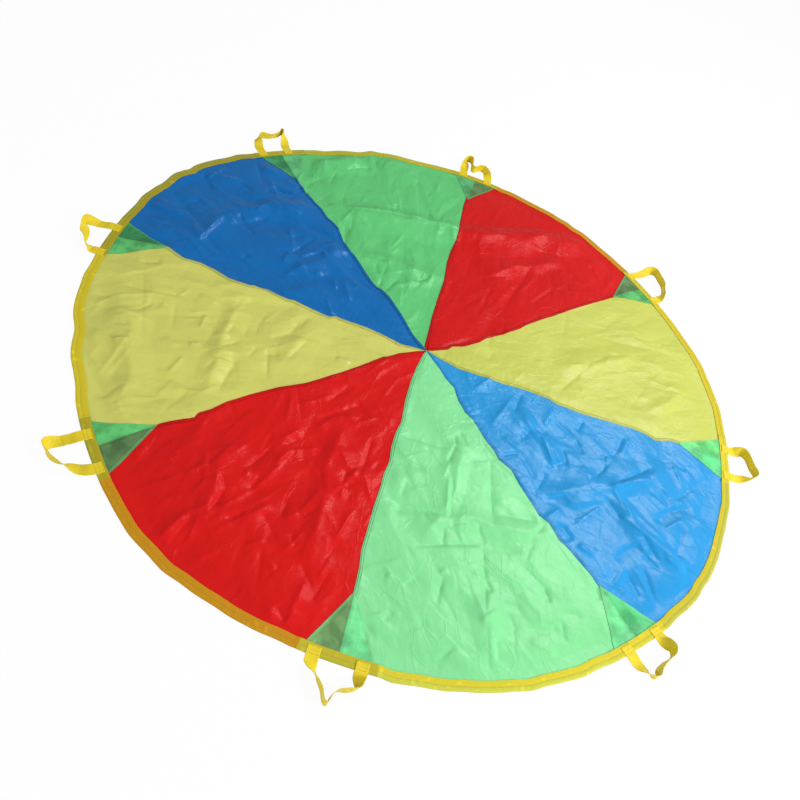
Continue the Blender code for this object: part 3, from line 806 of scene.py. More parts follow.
        (484, 566, 486, 580, -3.2, 8), (486, 580, 492, 592, -3.0, 8), (486, 582, 484, 612, -2.6, 9),
        (386, 575, 392, 577, 2.2, 8), (404, 586, 418, 576, -1.8, 10), (443, 578, 437, 604, -2.6, 7),
        (439, 573, 447, 573, 2.0, 7), (384, 620, 392, 612, -3.0, 8), (363, 622, 367, 640, -3.4, 8),
        (366, 625, 378, 641, -3.0, 9), (380, 634, 384, 652, -3.2, 10), (384, 652, 391, 668, -3.0, 9),
        (393, 674, 400, 658, -4.0, 8), (440, 660, 454, 646, -2.2, 8), (430, 658, 431, 680, -2.4, 6),
        (438, 658, 436, 680, -3.4, 7), (496, 640, 499, 662, -3.6, 9), (486, 622, 490, 670, -2.6, 12),
        (480, 622, 496, 612, 2.6, 10), (500, 604, 520, 606, -1.8, 8), (544, 588, 550, 602, -3.2, 8),
        (528, 628, 562, 630, -2.8, 14), (530, 642, 556, 655, 3.0, 12), (562, 622, 566, 642, -2.0, 8),
        (580, 662, 584, 646, -2.4, 8), (526, 560, 534, 540, -1.8, 9), (530, 540, 545, 524, -2.6, 9),
        (560, 612, 580, 615, -2.0, 10), (514, 630, 516, 650, -1.6, 9), (556, 664, 555, 672, -2.0, 6),
        (596, 588, 600, 600, -3.0, 7),
        # red, lower left
        (126, 480, 135, 516, -3.0, 14), (132, 482, 139, 512, 2.4, 12), (142, 486, 176, 478, 1.8, 9),
        (186, 475, 206, 465, 3.0, 9), (206, 450, 205, 478, 2.6, 10), (205, 480, 194, 492, 2.6, 9),
        (158, 540, 186, 513, 3.6, 12), (186, 513, 212, 506, 3.2, 11), (168, 545, 192, 516, -2.8, 10),
        (160, 501, 180, 496, 1.6, 8), (208, 512, 222, 494, -3.6, 10), (186, 543, 198, 516, 2.6, 8),
        (222, 507, 252, 491, 3.6, 10), (226, 520, 244, 512, -3.0, 11), (238, 522, 270, 504, 2.8, 12),
        (244, 478, 248, 470, 2.0, 7), (246, 468, 272, 448, -3.8, 10), (248, 490, 262, 474, -3.0, 10),
        (256, 488, 282, 464, 3.4, 10), (276, 464, 292, 450, 4.2, 12), (292, 450, 318, 448, 3.2, 12),
        (280, 440, 300, 430, 3.2, 10), (285, 446, 300, 438, -2.2, 8), (302, 460, 320, 452, -2.8, 12),
        (312, 436, 322, 450, -3.2, 9), (317, 428, 334, 417, 3.4, 11), (334, 417, 358, 418, 2.8, 11),
        (320, 418, 345, 410, -4.0, 13), (345, 410, 362, 404, -3.6, 13), (226, 448, 244, 446, 1.8, 8),
        (206, 465, 224, 450, -2.4, 9), (220, 476, 226, 488, -2.4, 9), (226, 488, 212, 508, -2.6, 9),
        (285, 518, 298, 514, 2.8, 9), (282, 515, 288, 500, -2.6, 9), (300, 512, 320, 490, 2.6, 11),
        (304, 515, 318, 508, -2.0, 8), (262, 512, 275, 540, -2.6, 13), (284, 552, 302, 534, 4.0, 10),
        (292, 534, 292, 545, -3.0, 9), (244, 546, 264, 540, 2.2, 8), (198, 560, 218, 552, 2.4, 8),
        (262, 548, 256, 590, -2.4, 16), (270, 572, 276, 568, 2.2, 8), (340, 500, 344, 488, 3.0, 9),
        (344, 488, 358, 480, -3.0, 10), (348, 468, 342, 486, -3.0, 10), (350, 478, 358, 470, 3.6, 9),
        (340, 450, 348, 470, 2.6, 13), (320, 470, 326, 500, -2.8, 16), (352, 512, 332, 546, 4.0, 13),
        (352, 426, 376, 418, 2.6, 9), (372, 440, 362, 470, -3.0, 11), (362, 470, 370, 500, 2.6, 10),
        (270, 610, 271, 622, 3.0, 9), (276, 606, 284, 622, -3.4, 9), (284, 626, 293, 610, 3.2, 8),
        (290, 612, 306, 580, 3.0, 12), (300, 560, 312, 590, -2.6, 13), (318, 580, 330, 556, 2.8, 13),
        (312, 600, 330, 572, -2.4, 12), (335, 540, 322, 570, -2.4, 12), (232, 598, 236, 606, 2.4, 7),
        (296, 405, 330, 396, 1.8, 8), (330, 400, 356, 386, -1.8, 10), (374, 380, 384, 368, 2.0, 10),
    )
    crease_height_share: float = 0.62
    crease_width_share: float = 0.55
    crease_slant: float = 2.4
    crease_blunt: float = 0.12
    stray_count: int = 360
    # How strongly each gore is crumpled
    crumple_shares: tuple[float, ...] = (0.80, 0.75, 1.60, 2.10, 2.00, 1.20, 1.05, 0.95)
    crease_shares: tuple[float, ...] = (1.6, 1.5, 2.6, 3.3, 2.7, 2.0, 2.2, 1.8)
    # How far each gore's grain is turned from its middle line, in degrees
    grain_turns: tuple[float, ...] = (10.0, 20.0, -15.0, 15.0, -10.0, 0.0, 25.0, -20.0)
    # Facets: width, drawing out, height in millimetres
    facets: tuple[tuple[float, float, float], ...] = (
        (0.085, 2.2, 4.8), (0.036, 2.6, 2.0), (0.015, 1.8, 0.55),
    )
    rest_height: float = 6.0 * MM
    rest_run: float = 0.080
    rest_softness: float = 1.5 * MM
    pucker_height: float = 1.0 * MM
    pucker_run: float = 0.020
    pucker_pitch: float = 0.023
    quiet_half_width: float = 0.070
    quiet_depth: float = 0.034
    # Seams as they lie, from the rim's end towards the hub, in the photograph's pixels
    seam_px: tuple[tuple[tuple[float, float], ...], ...] = (
        ((671, 441), (655, 440), (645, 434), (632, 429), (619, 425), (600, 419), (580, 413), (570, 409),
         (556, 404), (549, 399), (530, 392), (520, 389), (500, 383), (480, 376), (460, 369), (447, 362)),
        ((610, 298), (590, 304), (570, 310), (550, 317), (540, 320), (526, 325), (519, 329), (500, 335),
         (486, 338), (479, 342), (464, 346), (452, 346), (448, 349)),
        ((465, 207), (462, 222), (460, 232), (458, 241), (453, 251), (449, 263), (447, 275), (445, 285),
         (440, 299), (434, 318), (431, 332)),
        ((296, 178), (300, 186), (305, 192), (309, 197), (315, 204), (321, 210), (327, 219), (333, 224),
         (338, 230), (342, 240), (350, 253), (360, 265), (370, 279), (374, 284), (382, 290), (389, 298),
         (400, 314), (412, 334)),
        ((168, 249), (184, 260), (200, 264), (214, 270), (228, 279), (248, 287), (268, 290), (280, 297),
         (288, 300), (294, 301), (312, 310), (330, 317), (335, 316), (360, 325), (380, 333), (400, 344)),
        ((161, 424), (180, 421), (194, 419), (199, 414), (212, 410), (228, 402), (250, 396), (280, 388),
         (306, 384), (320, 380), (340, 374), (360, 367), (380, 359), (400, 353)),
        ((354, 594), (360, 568), (362, 550), (368, 530), (374, 508), (381, 488), (384, 476), (390, 462),
         (392, 447), (396, 434), (402, 422), (406, 400), (412, 380), (418, 366)),
        ((597, 584), (590, 574), (576, 557), (572, 552), (560, 540), (550, 524), (545, 520), (539, 515),
         (532, 502), (520, 484), (512, 470), (500, 460), (494, 450), (486, 440), (474, 420), (466, 412),
         (459, 400), (455, 388), (446, 378), (440, 368)),
    )
    wander_spread: float = 0.055
    seed: int = 41
    noises: dict[str, SmoothNoise] = field(default_factory=dict)
    crumples: list[FacetNoise] = field(default_factory=list)
    creases: np.ndarray | None = None
    seam_bends: list[tuple[np.ndarray, np.ndarray]] = field(default_factory=list)

    def __post_init__(self) -> None:
        """Draws the seeded patterns, and finds the photograph's creases and seams on the floor."""
        # A lattice has 128 corners a side, so round the rim the last cell meets the first
        rim_cell = math.tau * self.rim_radius / 128
        cells = {"bend": 0.07, "side": 0.06, "mask": 0.15, "fine": 0.03, "rim": rim_cell}
        for order, (name, cell) in enumerate(cells.items()):
            self.noises[name] = SmoothNoise(self.seed + order, cell)
        for order, (cell, stretch, _) in enumerate(self.facets):
            self.crumples.append(FacetNoise(self.seed + 50 + order, cell, stretch))
        table = np.array(self.crease_px)
        starts, ends = self.view.on_floor(table[:, 0:2]), self.view.on_floor(table[:, 2:4])
        sizes = table[:, 4:6] * np.array((self.crease_height_share, self.crease_width_share)) * MM
        creases = np.vstack((np.hstack((starts, ends, sizes)), self.stray_creases()))
        steep_sides = np.random.default_rng(self.seed + 91).choice((-1.0, 1.0), (len(creases), 1))
        self.creases = np.hstack((creases, steep_sides))
        for number, path in enumerate(self.seam_px):
            seen = self.view.on_floor(path)
            bearing = math.tau * number / 8
            run, off = seen @ turned(bearing), seen @ turned(bearing + math.pi / 2)
            order = np.argsort(run)
            rim = float(self.rim(bearing))
            runs = np.concatenate(([0.0], run[order], [rim - 0.07, rim]))
            offs = np.concatenate(([0.0], off[order], [off[order][-1] * 0.5, 0.0]))
            self.seam_bends.append((runs, offs))

    def rim(self, angle: np.ndarray | float) -> np.ndarray:
        """The binding's outer edge at an angle."""
        count = len(self.rim_shares)
        place = (np.asarray(angle, float) / math.tau) % 1.0 * count
        first = np.floor(place).astype(int)
        shares = np.array(self.rim_shares)
        near = [shares[(first + step) % count] for step in (-1, 0, 1, 2)]
        radius = self.rim_radius * catmull_rom(near, place - first)
        degrees = np.degrees(angle)
        extra = np.zeros_like(radius)
        for bearing, half_width, depth in self.rim_kinks:
            away = np.abs((degrees - bearing + 180.0) % 360.0 - 180.0) / half_width
            extra = extra + self.kink_share * depth * MM * smooth_step(1.0 - away)
        across = self.rim_radius * np.abs(np.sin(np.asarray(angle) - np.round(place / 3) * math.tau / 8))
        free = smooth_step((across - self.foot_half_width) / 0.03)
        step = self.noises["rim"].at(np.asarray(angle) * self.rim_radius, np.zeros_like(radius))
        return radius + (extra + self.rim_wiggle * (2.0 * step - 1.0)) * free

    def lift(self, angle: np.ndarray) -> np.ndarray:
        """How high the rim stands off the floor between two handles."""
        place = (np.asarray(angle, float) / math.tau) % 1.0 * 8
        gore = np.floor(place).astype(int) % 8
        inside = (place - np.floor(place) - self.spread_share) / (1.0 - 2.0 * self.spread_share)
        bell = np.where((inside > 0) & (inside < 1), np.sin(math.pi * np.clip(inside, 0, 1)) ** 2, 0.0)
        return self.fold_height * np.array(self.lift_shares)[gore] * bell

    def main_folds(self, x: np.ndarray, y: np.ndarray) -> np.ndarray:
        """The broad folds: a sharp crest, a long slope towards the hub and a short one behind it."""
        total = np.zeros_like(x)
        bend = (self.noises["bend"].at(x, y) - 0.5) * 0.035
        for ax, ay, bx, by, half_width, height in self.folds:
            start = np.array((ax, ay)) * self.rim_radius
            along = np.array((bx, by)) * self.rim_radius - start
            length = float(np.hypot(*along))
            along = along / length
            across = np.array((-along[1], along[0]))
            if across @ start < 0:
                across = -across
            run = ((x - start[0]) * along[0] + (y - start[1]) * along[1]) / length
            off = (x - start[0]) * across[0] + (y - start[1]) * across[1] + bend
            width = half_width * self.rim_radius * np.where(off < 0, 1.15, 0.80)
            taper = smooth_step((run + 0.22) / 0.40) * smooth_step((1.22 - run) / 0.40)
            away = np.minimum(1.0, np.sqrt((off / width) ** 2 + 0.006))
            total += height * taper * (1.0 - away) ** 1.5 * 1.12
        return np.maximum(0.0, total * self.fold_height - self.fold_cut)

    def sharp_creases(self, x: np.ndarray, y: np.ndarray) -> np.ndarray:
        """Ridges and grooves with a steep side and a gentle one, which fade at their ends."""
        total = np.zeros_like(x)
        for ax, ay, bx, by, height, width, steep in self.creases:
            reach = 6.0 * width * self.crease_slant + 0.02
            near = (x > min(ax, bx) - reach) & (x < max(ax, bx) + reach)
            near &= (y > min(ay, by) - reach) & (y < max(ay, by) + reach)
            if not near.any():
                continue
            px, py = x[near] - ax, y[near] - ay
            length = math.hypot(bx - ax, by - ay)
            ux, uy = (bx - ax) / length, (by - ay) / length
            run, off = (px * ux + py * uy) / length, py * ux - px * uy
            blunt = self.crease_blunt * width
            slope = np.where(off * steep > 0.0, width, width * self.crease_slant)
            ridge = np.exp(-(np.sqrt(off * off + blunt * blunt) - blunt) / slope)
            total[near] += height * ridge * smooth_step((run + 0.15) / 0.4) * smooth_step((1.15 - run) / 0.4)
        return total * self.by_gore(self.crease_shares, x, y)

    def stray_creases(self) -> np.ndarray:
        """Fine straight creases left by the folding, drawn at random: both ends, height and half width."""
        draws = np.random.default_rng(self.seed + 90)
        radius = self.rim_radius * np.sqrt(draws.uniform(0.01, 0.92, self.stray_count))
        angle = draws.uniform(0.0, math.tau, self.stray_count)
        centre = np.stack((radius * np.cos(angle), radius * np.sin(angle)), axis=1)
        bearing = self.grain(np.floor(angle / (math.tau / 8)).astype(int))
        bearing = bearing + draws.choice((0.0, 0.0, 0.0, 1.1), self.stray_count)
        bearing = bearing + draws.normal(0.0, 0.22, self.stray_count)
        half_length = draws.uniform(0.012, 0.050, (self.stray_count, 1))
        half = np.stack((np.cos(bearing), np.sin(bearing)), axis=1) * half_length
        share = self.by_gore(self.crumple_shares, centre[:, 0], centre[:, 1])
        up_or_down = draws.choice((-1.0, 1.0), self.stray_count)
        height = up_or_down * draws.uniform(0.3, 0.9, self.stray_count) * share * MM
        width = draws.uniform(3.5, 5.5, self.stray_count) * MM
        return np.hstack((centre - half, centre + half, height[:, None], width[:, None]))

    def grain(self, gore: np.ndarray | int) -> np.ndarray:
        """The direction in which a gore's facets and creases are drawn out."""
        return (np.asarray(gore) + 0.5) * math.tau / 8 + np.radians(np.array(self.grain_turns))[gore]

    def by_gore(self, values: Sequence[float], x: np.ndarray, y: np.ndarray) -> np.ndarray:
        """A value of each gore, blended across the seams."""
        place = (np.arctan2(y, x) / math.tau) % 1.0 * 8 - 0.5
        first = np.floor(place).astype(int)
        table = np.array(values)
        share = smooth_step((place - first - 0.5) * 3.0 + 0.5)
        return table[first % 8] * (1 - share) + table[(first + 1) % 8] * share

    def crumple(self, x: np.ndarray, y: np.ndarray) -> np.ndarray:
        """Facets of three sizes along each gore's grain, above and below the cloth's resting height."""
        bent_x = x + (self.noises["bend"].at(x, y) - 0.5) * 0.016
        bent_y = y + (self.noises["side"].at(x, y) - 0.5) * 0.016
        mask = 0.45 + 0.55 * smooth_step(self.noises["mask"].at(x, y) * 2.2 - 0.5)
        place = (np.arctan2(y, x) / math.tau) % 1.0 * 8 - 0.5
        first = np.floor(place).astype(int)
        later = smooth_step((place - first - 0.5) * 8.0 + 0.5)
        total = np.zeros_like(x)
        for gore in range(8):
            share = np.where(first % 8 == gore, 1.0 - later, 0.0)
            share = share + np.where((first + 1) % 8 == gore, later, 0.0)
            here = share > 0.0
            if not here.any():
                continue
            along, across = turned(self.grain(gore)), turned(self.grain(gore) + math.pi / 2)
            run = bent_x[here] * along[0] + bent_y[here] * along[1]
            off = bent_x[here] * across[0] + bent_y[here] * across[1]
            for noise, (_, _, height) in zip(self.crumples, self.facets):
                total[here] += height * MM * noise.at(run, off) * share[here]
        return total * mask * self.by_gore(self.crumple_shares, x, y)

    def puckers(self, x: np.ndarray, y: np.ndarray) -> np.ndarray:
        """Short uneven pleats square to the seams and to the binding, where the thread gathers the cloth."""
        radius = np.hypot(x, y)
        angle = np.arctan2(y, x)
        seam = np.round(angle / (math.tau / 8))
        off = np.abs(radius * np.sin(angle - seam * math.tau / 8))
        inset = np.maximum(0.0, self.rim(angle) - self.binding_width - radius)
        total = np.zeros_like(x)
        for run, away in ((radius + seam * 0.37, off), (angle * self.rim_radius + 9.0, inset)):
            level = np.zeros_like(run)
            phase = run / self.pucker_pitch + 3.0 * self.noises["side"].at(run, level)
            size = smooth_step(2.4 * self.noises["bend"].at(run, level + 1.0) - 0.6)
            ripple = np.abs((phase % 1.0) - 0.5) * 2.0
            total += (ripple - 0.4) * size * np.exp(-away / self.pucker_run)
        return self.pucker_height * total * smooth_step(radius / 0.12)

    def quiet(self, x: np.ndarray, y: np.ndarray) -> np.ndarray:
        """Nothing where a handle is sewn on, 1 elsewhere."""
        angle = np.arctan2(y, x)
        seam = np.round(angle / (math.tau / 8)) * math.tau / 8
        side = np.abs(np.sin(angle - seam)) * np.hypot(x, y) / self.quiet_half_width
        deep = (self.rim(angle) - np.hypot(x, y)) / self.quiet_depth
        near = smooth_step(2.0 - side * 1.6) * smooth_step(1.6 - deep)
        return 1.0 - near

    def height(self, x: np.ndarray, y: np.ndarray) -> np.ndarray:
        """The underside of the gores above the floor."""
        angle = np.arctan2(y, x)
        inside = self.rim(angle) - self.binding_width - np.hypot(x, y)
        settled = smooth_step(inside / self.rise_run)
        lifted = 1.0 - smooth_step(inside / self.lift_run)
        base = self.main_folds(x, y) * settled + self.rim_rise * (1.0 - settled) + self.lift(angle) * lifted
        calm = np.where(inside < 0, 0.30, 0.30 + 0.70 * settled)
        detail = (self.crumple(x, y) + self.puckers(x, y)) * calm
        detail += self.rest_height * smooth_step(inside / self.rest_run)
        detail += self.sharp_creases(x, y) * np.where(inside < 0, 0.15, 0.15 + 0.85 * settled)
        floor = self.rim_rise * (1.0 - settled)
        free = (base - floor + detail * self.quiet(x, y)) / self.rest_softness
        return floor + self.rest_softness * np.maximum(0.0, np.logaddexp(0.0, free) - math.log(2.0))

    def wander(self, x: np.ndarray, y: np.ndarray) -> tuple[np.ndarray, np.ndarray]:
        """How far the cloth strays in plan from its cut: along each seam as the photograph shows it."""
        angle = np.arctan2(y, x)
        radius = np.hypot(x, y)
        dx, dy = np.zeros_like(x), np.zeros_like(y)
        for number, (runs, offs) in enumerate(self.seam_bends):
            bearing = math.tau * number / 8
            turn = (angle - bearing + math.pi) % math.tau - math.pi
            off = radius * np.sin(turn)
            share = np.where(np.abs(turn) < math.pi / 4, np.exp(-((off / self.wander_spread) ** 2)), 0.0)
            share = share * smooth_step((math.pi / 4 - np.abs(turn)) / 0.35)
            shift = np.interp(radius, runs, offs) * share
            dx -= shift * math.sin(bearing)
            dy += shift * math.cos(bearing)
        return dx, dy

    def place(self, plan: np.ndarray, level: np.ndarray | float) -> np.ndarray:
        """Points of a layer.

        Args:
            plan: Flat places, one per row.
            level: How far each lies above the gores' underside.

        Returns:
            One point in space per row.
        """
        x, y = plan[:, 0], plan[:, 1]
        dx, dy = self.wander(x, y)
        return np.stack((x + dx, y + dy, self.height(x + dx, y + dy) + level), axis=1)


def link_mesh(
    name: str, points: np.ndarray, faces: Sequence[Sequence[int]], finish: bpy.types.Material
) -> bpy.types.Object:
    """Makes an object of points and faces, smooth but for its hard edges.

    Args:
        name: The piece's name.
        points: One point per row.
        faces: Corner numbers of each face.
        finish: Its material.

    Returns:
        The new object.
    """
    mesh = bpy.data.meshes.new(name)
    mesh.from_pydata(np.asarray(points).tolist(), [], [list(map(int, f)) for f in faces])
    mesh.materials.append(finish)
    made = bpy.data.objects.new(name, mesh)
    bpy.context.scene.collection.objects.link(made)
    bpy.ops.object.select_all(action="DESELECT")
    made.select_set(True)
    bpy.context.view_layer.objects.active = made
    bpy.ops.object.shade_smooth_by_angle(angle=math.radians(55))
    return made


def give_uv(piece: bpy.types.Object, flat: np.ndarray) -> None:
    """Writes a UV map in metres from one flat place per vertex."""
    mesh = piece.data
    layer = mesh.uv_layers.new(name="cut")
    corners = np.zeros(len(mesh.loops), np.int32)
    mesh.loops.foreach_get("vertex_index", corners)
    layer.data.foreach_set("uv", flat[corners].astype(np.float32).ravel())


def zip_rings(counts: Sequence[int]) -> np.ndarray:
    """Triangles between neighbouring rows of points that have different counts.

    Args:
        counts: How many points each row has.

    Returns:
        Corner numbers, one triangle per row.
    """
    faces, start = [], 0
    for here, there in zip(counts, counts[1:]):
        i, j, other = 0, 0, start + here
        while i < here - 1 or j < there - 1:
            next_i = (i + 1) / (here - 1) if i < here - 1 else 2.0
            next_j = (j + 1) / (there - 1) if j < there - 1 else 2.0
            if next_i <= next_j:
                faces.append((start + i, other + j, start + i + 1))
                i += 1
            else:
                faces.append((start + i, other + j, other + j + 1))
                j += 1
        start = other
    return np.array(faces)


def close_sheet(
    name: str,
    surface: LyingCloth,
    plan: np.ndarray,
    triangles: np.ndarray,
    level: np.ndarray | float,
    thickness: float,
    finish: bpy.types.Material,
    bearing: float,
) -> bpy.types.Object:
    """A closed sheet: an upper and a lower face and the edge between them.

    Args:
        name: The piece's name.
        surface: What it lies on.
        plan: Its flat places.
        triangles: Corner numbers, facing up.
        level: Its underside above the gores' underside.
        thickness: Its thickness.
        finish: Its material.
        bearing: The direction of its grain, for the UV map.

    Returns:
        The piece.
    """
    low = surface.place(plan, level)
    high = low + np.array((0.0, 0.0, thickness))
    count = len(plan)
    edges = np.concatenate((triangles[:, [0, 1]], triangles[:, [1, 2]], triangles[:, [2, 0]]))
    order = np.sort(edges, axis=1)
    _, where, uses = np.unique(order, axis=0, return_index=True, return_counts=True)
    border = edges[where[uses == 1]]
    walls = np.stack((border[:, 1] + count, border[:, 0] + count, border[:, 0], border[:, 1]), axis=1)
    faces = [*(triangles + count).tolist(), *triangles[:, ::-1].tolist(), *walls.tolist()]
    piece = link_mesh(name, np.concatenate((low, high)), faces, finish)
    along, across = turned(bearing), turned(bearing + math.pi / 2)
    flat = np.stack((plan @ along, plan @ across), axis=1)
    give_uv(piece, np.concatenate((flat, flat)))
    return piece


@dataclass
class Canopy:
    """The gores, the felled seams and the corner patches."""

    surface: LyingCloth
    cell: float = 3.4 * MM
    cloth: float = 0.45 * MM
    gap: float = 0.3 * MM
    hub_blunt: float = 0.6 * MM
    fold_inset: float = 1.1 * MM
    seam_width: float = 9 * MM
    seam_lap: float = 2 * MM
    seam_start: float = 3 * MM
    seam_level: float = 1.1 * MM
    patch_depth: float = 0.155
    patch_base: float = 0.168
    patch_level: float = 1.1 * MM
    # A gore's width along the rim, as it is cut
    gore_arc: float = 0.72
    # The tuck's stitches: how far in from its left edge, and how far to the left of the seam
    needle_insets: tuple[float, float] = (1.6 * MM, 0.4 * MM)
    tuck_cell: float = 1.2 * MM
    tuck_taper: float = 0.55
    tuck_crown: float = 0.35 * MM
    tuck_sink: float = 0.45 * MM
    tuck_cloths: float = 1.5
    # How far a patch's rows run past the rim before they are drawn in, and how it rises over the seam
    patch_overrun: float = 3 * MM
    patch_tip: float = 0.8 * MM
    patch_rise: float = 0.8 * MM
    patch_rise_fade: float = 1.5 * MM
    patch_rise_run: float = 10 * MM
    gore_hues: tuple[Hue, ...] = (
        Hue.YELLOW, Hue.RED, Hue.GREEN, Hue.BLUE, Hue.YELLOW, Hue.RED, Hue.GREEN, Hue.BLUE,
    )
    seam_hues: tuple[Hue, ...] = (
        Hue.YELLOW, Hue.RED, Hue.RED, Hue.BLUE, Hue.YELLOW, Hue.RED, Hue.GREEN, Hue.BLUE,
    )
    # Each gore has its own colour, which also paints the light and shade that falls on it: gores of one hue
    # are set lighter or darker by where they lie
    gore_colour_and_light: tuple[Colour, ...] = (
        (0.51, 0.55, 0.10), (0.57, 0.01, 0.01), (0.11, 0.52, 0.17), (0.005, 0.13, 0.40),
        (0.58, 0.58, 0.13), (0.62, 0.01, 0.01), (0.21, 0.67, 0.28), (0.02, 0.27, 0.60),
    )
    # The green patch cloth over each colour, and its own folded hem
    patch_over: dict[Hue, Colour] = field(
        default_factory=lambda: {
            Hue.YELLOW: (0.11, 0.50, 0.145),
            Hue.RED: (0.120, 0.25, 0.092),
            Hue.GREEN: (0.135, 0.57, 0.225),
            Hue.BLUE: (0.065, 0.40, 0.140),
        }
    )
    patch_hem: Colour = (0.17, 0.52, 0.19)
    # How bright each patch is painted to the right and to the left of its seam: painted light and shade, by
    # where it lies
    patch_light_and_shade: tuple[tuple[float, float], ...] = (
        (1.50, 1.30), (0.92, 1.00), (0.95, 0.75), (0.85, 0.76),
        (0.65, 1.00), (1.10, 0.85), (1.35, 1.18), (1.18, 1.35),
    )
    # How strongly each colour of cloth mirrors the lamps, and how rough it is
    gloss: dict[Hue, tuple[float, float]] = field(
        default_factory=lambda: {
            Hue.YELLOW: (0.18, 0.31), Hue.RED: (0.08, 0.26), Hue.GREEN: (0.18, 0.29), Hue.BLUE: (0.16, 0.25)
        }
    )
    tuck_shade: float = 0.92
    finishes: list[bpy.types.Material] = field(default_factory=list)

    def seam_angle(self, number: float) -> float:
        """The bearing of a seam."""
        return math.tau * number / 8

    def colour_gores(self) -> None:
        """Makes a finish for each gore, whose colour holds painted light and shade."""
        for number, (hue, colour) in enumerate(zip(self.gore_hues, self.gore_colour_and_light), start=1):
            gloss, roughness = self.gloss[hue]
            finish = NylonFinish(f"nylon_{hue.value}_{number}", colour, gloss=gloss, roughness=roughness)
            self.finishes.append(finish.build())

    def seam_colour(self, number: int) -> Colour:
        """The colour of the gore whose allowance lies on top at a seam, with that gore's painted light and
        shade.
        """
        near = number if self.gore_hues[number] is self.seam_hues[number] else number - 1
        return self.gore_colour_and_light[near]

    def build_gore(self, number: int) -> bpy.types.Object:
        """One gore between two seams, its rim end inside the binding's fold."""
        start, end = self.seam_angle(number), self.seam_angle(number + 1)
        half_gap = self.gap / 2
        shrink = np.linspace(0.0, 1.0, int(self.surface.rim_radius / self.cell) + 1)
        rows, counts = [], []
        for share in shrink:
            middle = self.hub_blunt + share * (self.surface.rim_radius - self.hub_blunt)
            trim = half_gap / middle
            count = max(2, int(math.ceil(middle * (end - start) / self.cell)) + 1)
            angles = np.linspace(start + trim, end - trim, count)
            reach = self.surface.rim(angles) - self.fold_inset
            radii = self.hub_blunt + share * (reach - self.hub_blunt)
            rows.append(np.stack((radii * np.cos(angles), radii * np.sin(angles)), axis=1))
            counts.append(count)
        plan = np.concatenate(rows)
        triangles = self.facing_up(plan, zip_rings(counts))
        hue = self.gore_hues[number]
        name = f"gore_panel_{number + 1}_{hue.value}"
        piece = close_sheet(
            name, self.surface, plan, triangles, 0.0, self.cloth, self.finishes[number], (start + end) / 2
        )
        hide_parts(f"gore_{number + 1}_{hue.value}")
        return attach(piece, CANOPY)

    def facing_up(self, plan: np.ndarray, triangles: np.ndarray) -> np.ndarray:
        """The same triangles, each turned to face up."""
        a, b, c = (plan[triangles[:, k]] for k in range(3))
        area = (b[:, 0] - a[:, 0]) * (c[:, 1] - a[:, 1]) - (b[:, 1] - a[:, 1]) * (c[:, 0] - a[:, 0])
        turned_over = triangles.copy()
        turned_over[area < 0] = triangles[area < 0][:, ::-1]
        return turned_over

    def band(
        self, number: int, runs: np.ndarray, lows: np.ndarray, highs: np.ndarray, cell: float
    ) -> tuple[np.ndarray, np.ndarray, np.ndarray]:
        """A band along a seam.

        Args:
            number: The seam, from 0.
            runs: Distances from the hub along the seam.
            lows: How far the band's right edge is to the left of the seam, at each run.
            highs: The same for its left edge.
            cell: The widest step across it.

        Returns:
            Plan places, triangles, and each place's distance across the seam.
        """
        along, across = turned(self.seam_angle(number)), turned(self.seam_angle(number) + math.pi / 2)
        rows, counts, offsets = [], [], []
        for run, low, high in zip(runs, lows, highs):
            count = max(2, int(math.ceil((high - low) / cell)) + 1)
            side = np.linspace(low, high, count)
            rows.append(run * along + side[:, None] * across)
            offsets.append(side)
            counts.append(count)
        plan = np.concatenate(rows)
        return plan, self.facing_up(plan, zip_rings(counts)), np.concatenate(offsets)

    def stitch_offsets(self) -> tuple[float, float]:
        """How far to the left of a seam its two rows of stitches run."""
        from_edge, from_seam = self.needle_insets
        return self.seam_width - self.seam_lap - from_edge, from_seam

    def build_seam(self, number: int) -> bpy.types.Object:
        """The felled allowances: a flat tuck that narrows at the hub, crowned between its stitches."""
        rim = float(self.surface.rim(self.seam_angle(number)))
        end = rim - self.surface.binding_width - 2 * self.gap
        runs = np.arange(self.seam_start, end, self.cell)
        room = np.minimum(1.0, runs * self.tuck_taper / self.seam_width)
        lows, highs = -self.seam_lap * room, (self.seam_width - self.seam_lap) * room
        plan, triangles, offsets = self.band(number, runs, lows, highs, self.tuck_cell)
        centre = self.seam_width / 2 - self.seam_lap
        crown = self.tuck_crown * (1 - ((offsets - centre) / (self.seam_width / 2)) ** 2)
        hue = self.seam_hues[number]
        shade = scaled(self.seam_colour(number), self.tuck_shade)
        finish = NylonFinish(
            f"nylon_tuck_{number + 1}", shade, cloud=0.12, shaded_rows_across=self.stitch_offsets(),
            gloss=self.gloss[hue][0], roughness=self.gloss[hue][1],
        ).build()
        piece = close_sheet(
            f"seam_tuck_{number + 1}", self.surface, plan, triangles,
            self.seam_level + crown - self.tuck_sink, self.cloth * self.tuck_cloths, finish,
            self.seam_angle(number),
        )
        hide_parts(f"felled_seam_{number + 1}")
        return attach(piece, CANOPY)

